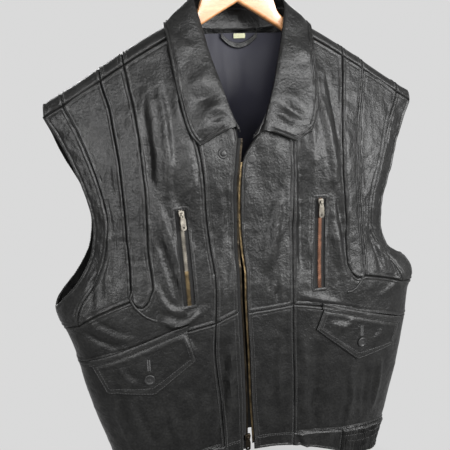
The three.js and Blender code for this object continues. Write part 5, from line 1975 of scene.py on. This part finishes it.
def add_stage():
    """A pale floor below the vest that glows as bright as the studio round it, with a painted soft shadow
    that darkens its middle.
    """
    mesh = bpy.data.meshes.new("floor")
    reach = 60
    corners = [(x * reach, y * reach, FLOOR_HEIGHT) for x, y in ((-1, -1), (1, -1), (1, 1), (-1, 1))]
    mesh.from_pydata(corners, [], [(0, 1, 2, 3)])
    floor = bpy.data.objects.new("floor", mesh)
    shade = Shade("floor_glow_painted_shadow", Roughness=1.0, Specular_IOR_Level=0.0, Emission_Strength=1.0)
    painted_shadow_scale = shade.add("ShaderNodeMapping")
    painted_shadow_scale.inputs["Scale"].default_value = (1.2, 1.2, 0)
    shade.wire(shade.place, painted_shadow_scale.inputs["Vector"])
    painted_shadow_gradient = shade.add("ShaderNodeTexGradient", gradient_type="SPHERICAL")
    shade.wire(painted_shadow_scale.outputs["Vector"], painted_shadow_gradient.inputs["Vector"])
    # Painted soft shadow: the glow falls to about a third of the backdrop's brightness under the vest.
    light = shade.ramp(painted_shadow_gradient.outputs["Fac"], (0.2, BACKDROP), (1, BACKDROP * 0.35))
    shade.wire(light, shade.shader.inputs["Emission Color"])
    shade.shader.inputs["Base Color"].default_value = (0, 0, 0, 1)
    mesh.materials.append(shade.material)
    bpy.context.scene.collection.objects.link(floor)


def add_light(name, place, target, size, power):
    data = bpy.data.lights.new(name, "AREA")
    data.shape = "RECTANGLE"
    data.size, data.size_y = size
    data.energy = power
    light = bpy.data.objects.new(name, data)
    back = unit(np.array(place, float) - np.array(target, float))
    right = unit(np.cross([0, 0, 1.0], back))
    up = np.cross(back, right)
    columns = np.array([right, up, back]).T
    light.matrix_world = Matrix([[*columns[k], place[k]] for k in range(3)] + [[0, 0, 0, 1]])
    bpy.context.scene.collection.objects.link(light)


def add_lights():
    world = bpy.data.worlds.new("studio")
    world.use_nodes = True
    world.node_tree.nodes["Background"].inputs["Color"].default_value = (BACKDROP, BACKDROP, BACKDROP, 1)
    bpy.context.scene.world = world
    bpy.context.scene.view_settings.view_transform = "Standard"
    middle = (0, 0, -0.45)
    add_light("key", (0.15, -1.05, 0.25), middle, (0.6, 0.5), 28)
    add_light("side", (-0.7, -1.0, -0.15), middle, (0.4, 0.8), 22)
    add_light("fill", (0.8, -1.0, -0.1), middle, (0.4, 0.8), 50)
    add_light("rim", (0.2, 1.7, 0.0), middle, (1.6, 0.8), 40)


CAMERA = {"place": (-236.7, -802.3, -230), "yaw": 0.255, "pitch": 0.258, "roll": 0.032}
FOCAL_PIXELS = 561.4
IMAGE_PIXELS = 450
SENSOR = 36


def add_camera():
    yaw, pitch, roll = CAMERA["yaw"], CAMERA["pitch"], CAMERA["roll"]
    forward = np.array([sin(yaw) * cos(pitch), cos(yaw) * cos(pitch), -sin(pitch)])
    level = np.array([cos(yaw), -sin(yaw), 0])
    down = np.cross(forward, level)
    right = cos(roll) * level + sin(roll) * down
    down = cos(roll) * down - sin(roll) * level
    data = bpy.data.cameras.new("camera")
    data.sensor_width = SENSOR
    data.lens = FOCAL_PIXELS / IMAGE_PIXELS * SENSOR
    data.clip_start = 0.05
    camera = bpy.data.objects.new("camera", data)
    columns = np.array([right, -down, -forward]).T
    place = np.array(CAMERA["place"]) * MM
    camera.matrix_world = Matrix([[*columns[k], place[k]] for k in range(3)] + [[0, 0, 0, 1]])
    bpy.context.scene.collection.objects.link(camera)
    bpy.context.scene.camera = camera


add_hanger_bar()
add_hook()
for side in "LR":
    add_front(side)
add_back()
for side in "LR":
    add_elastic(side)
add_lining()
for side in "LR":
    add_seam_ridge(side)
    add_flap(side)
    add_chest_zip(side)
add_front_zip()
add_snaps()
add_collar()
add_hanging_loop()
add_size_label()
add_stage()
add_lights()
add_camera()
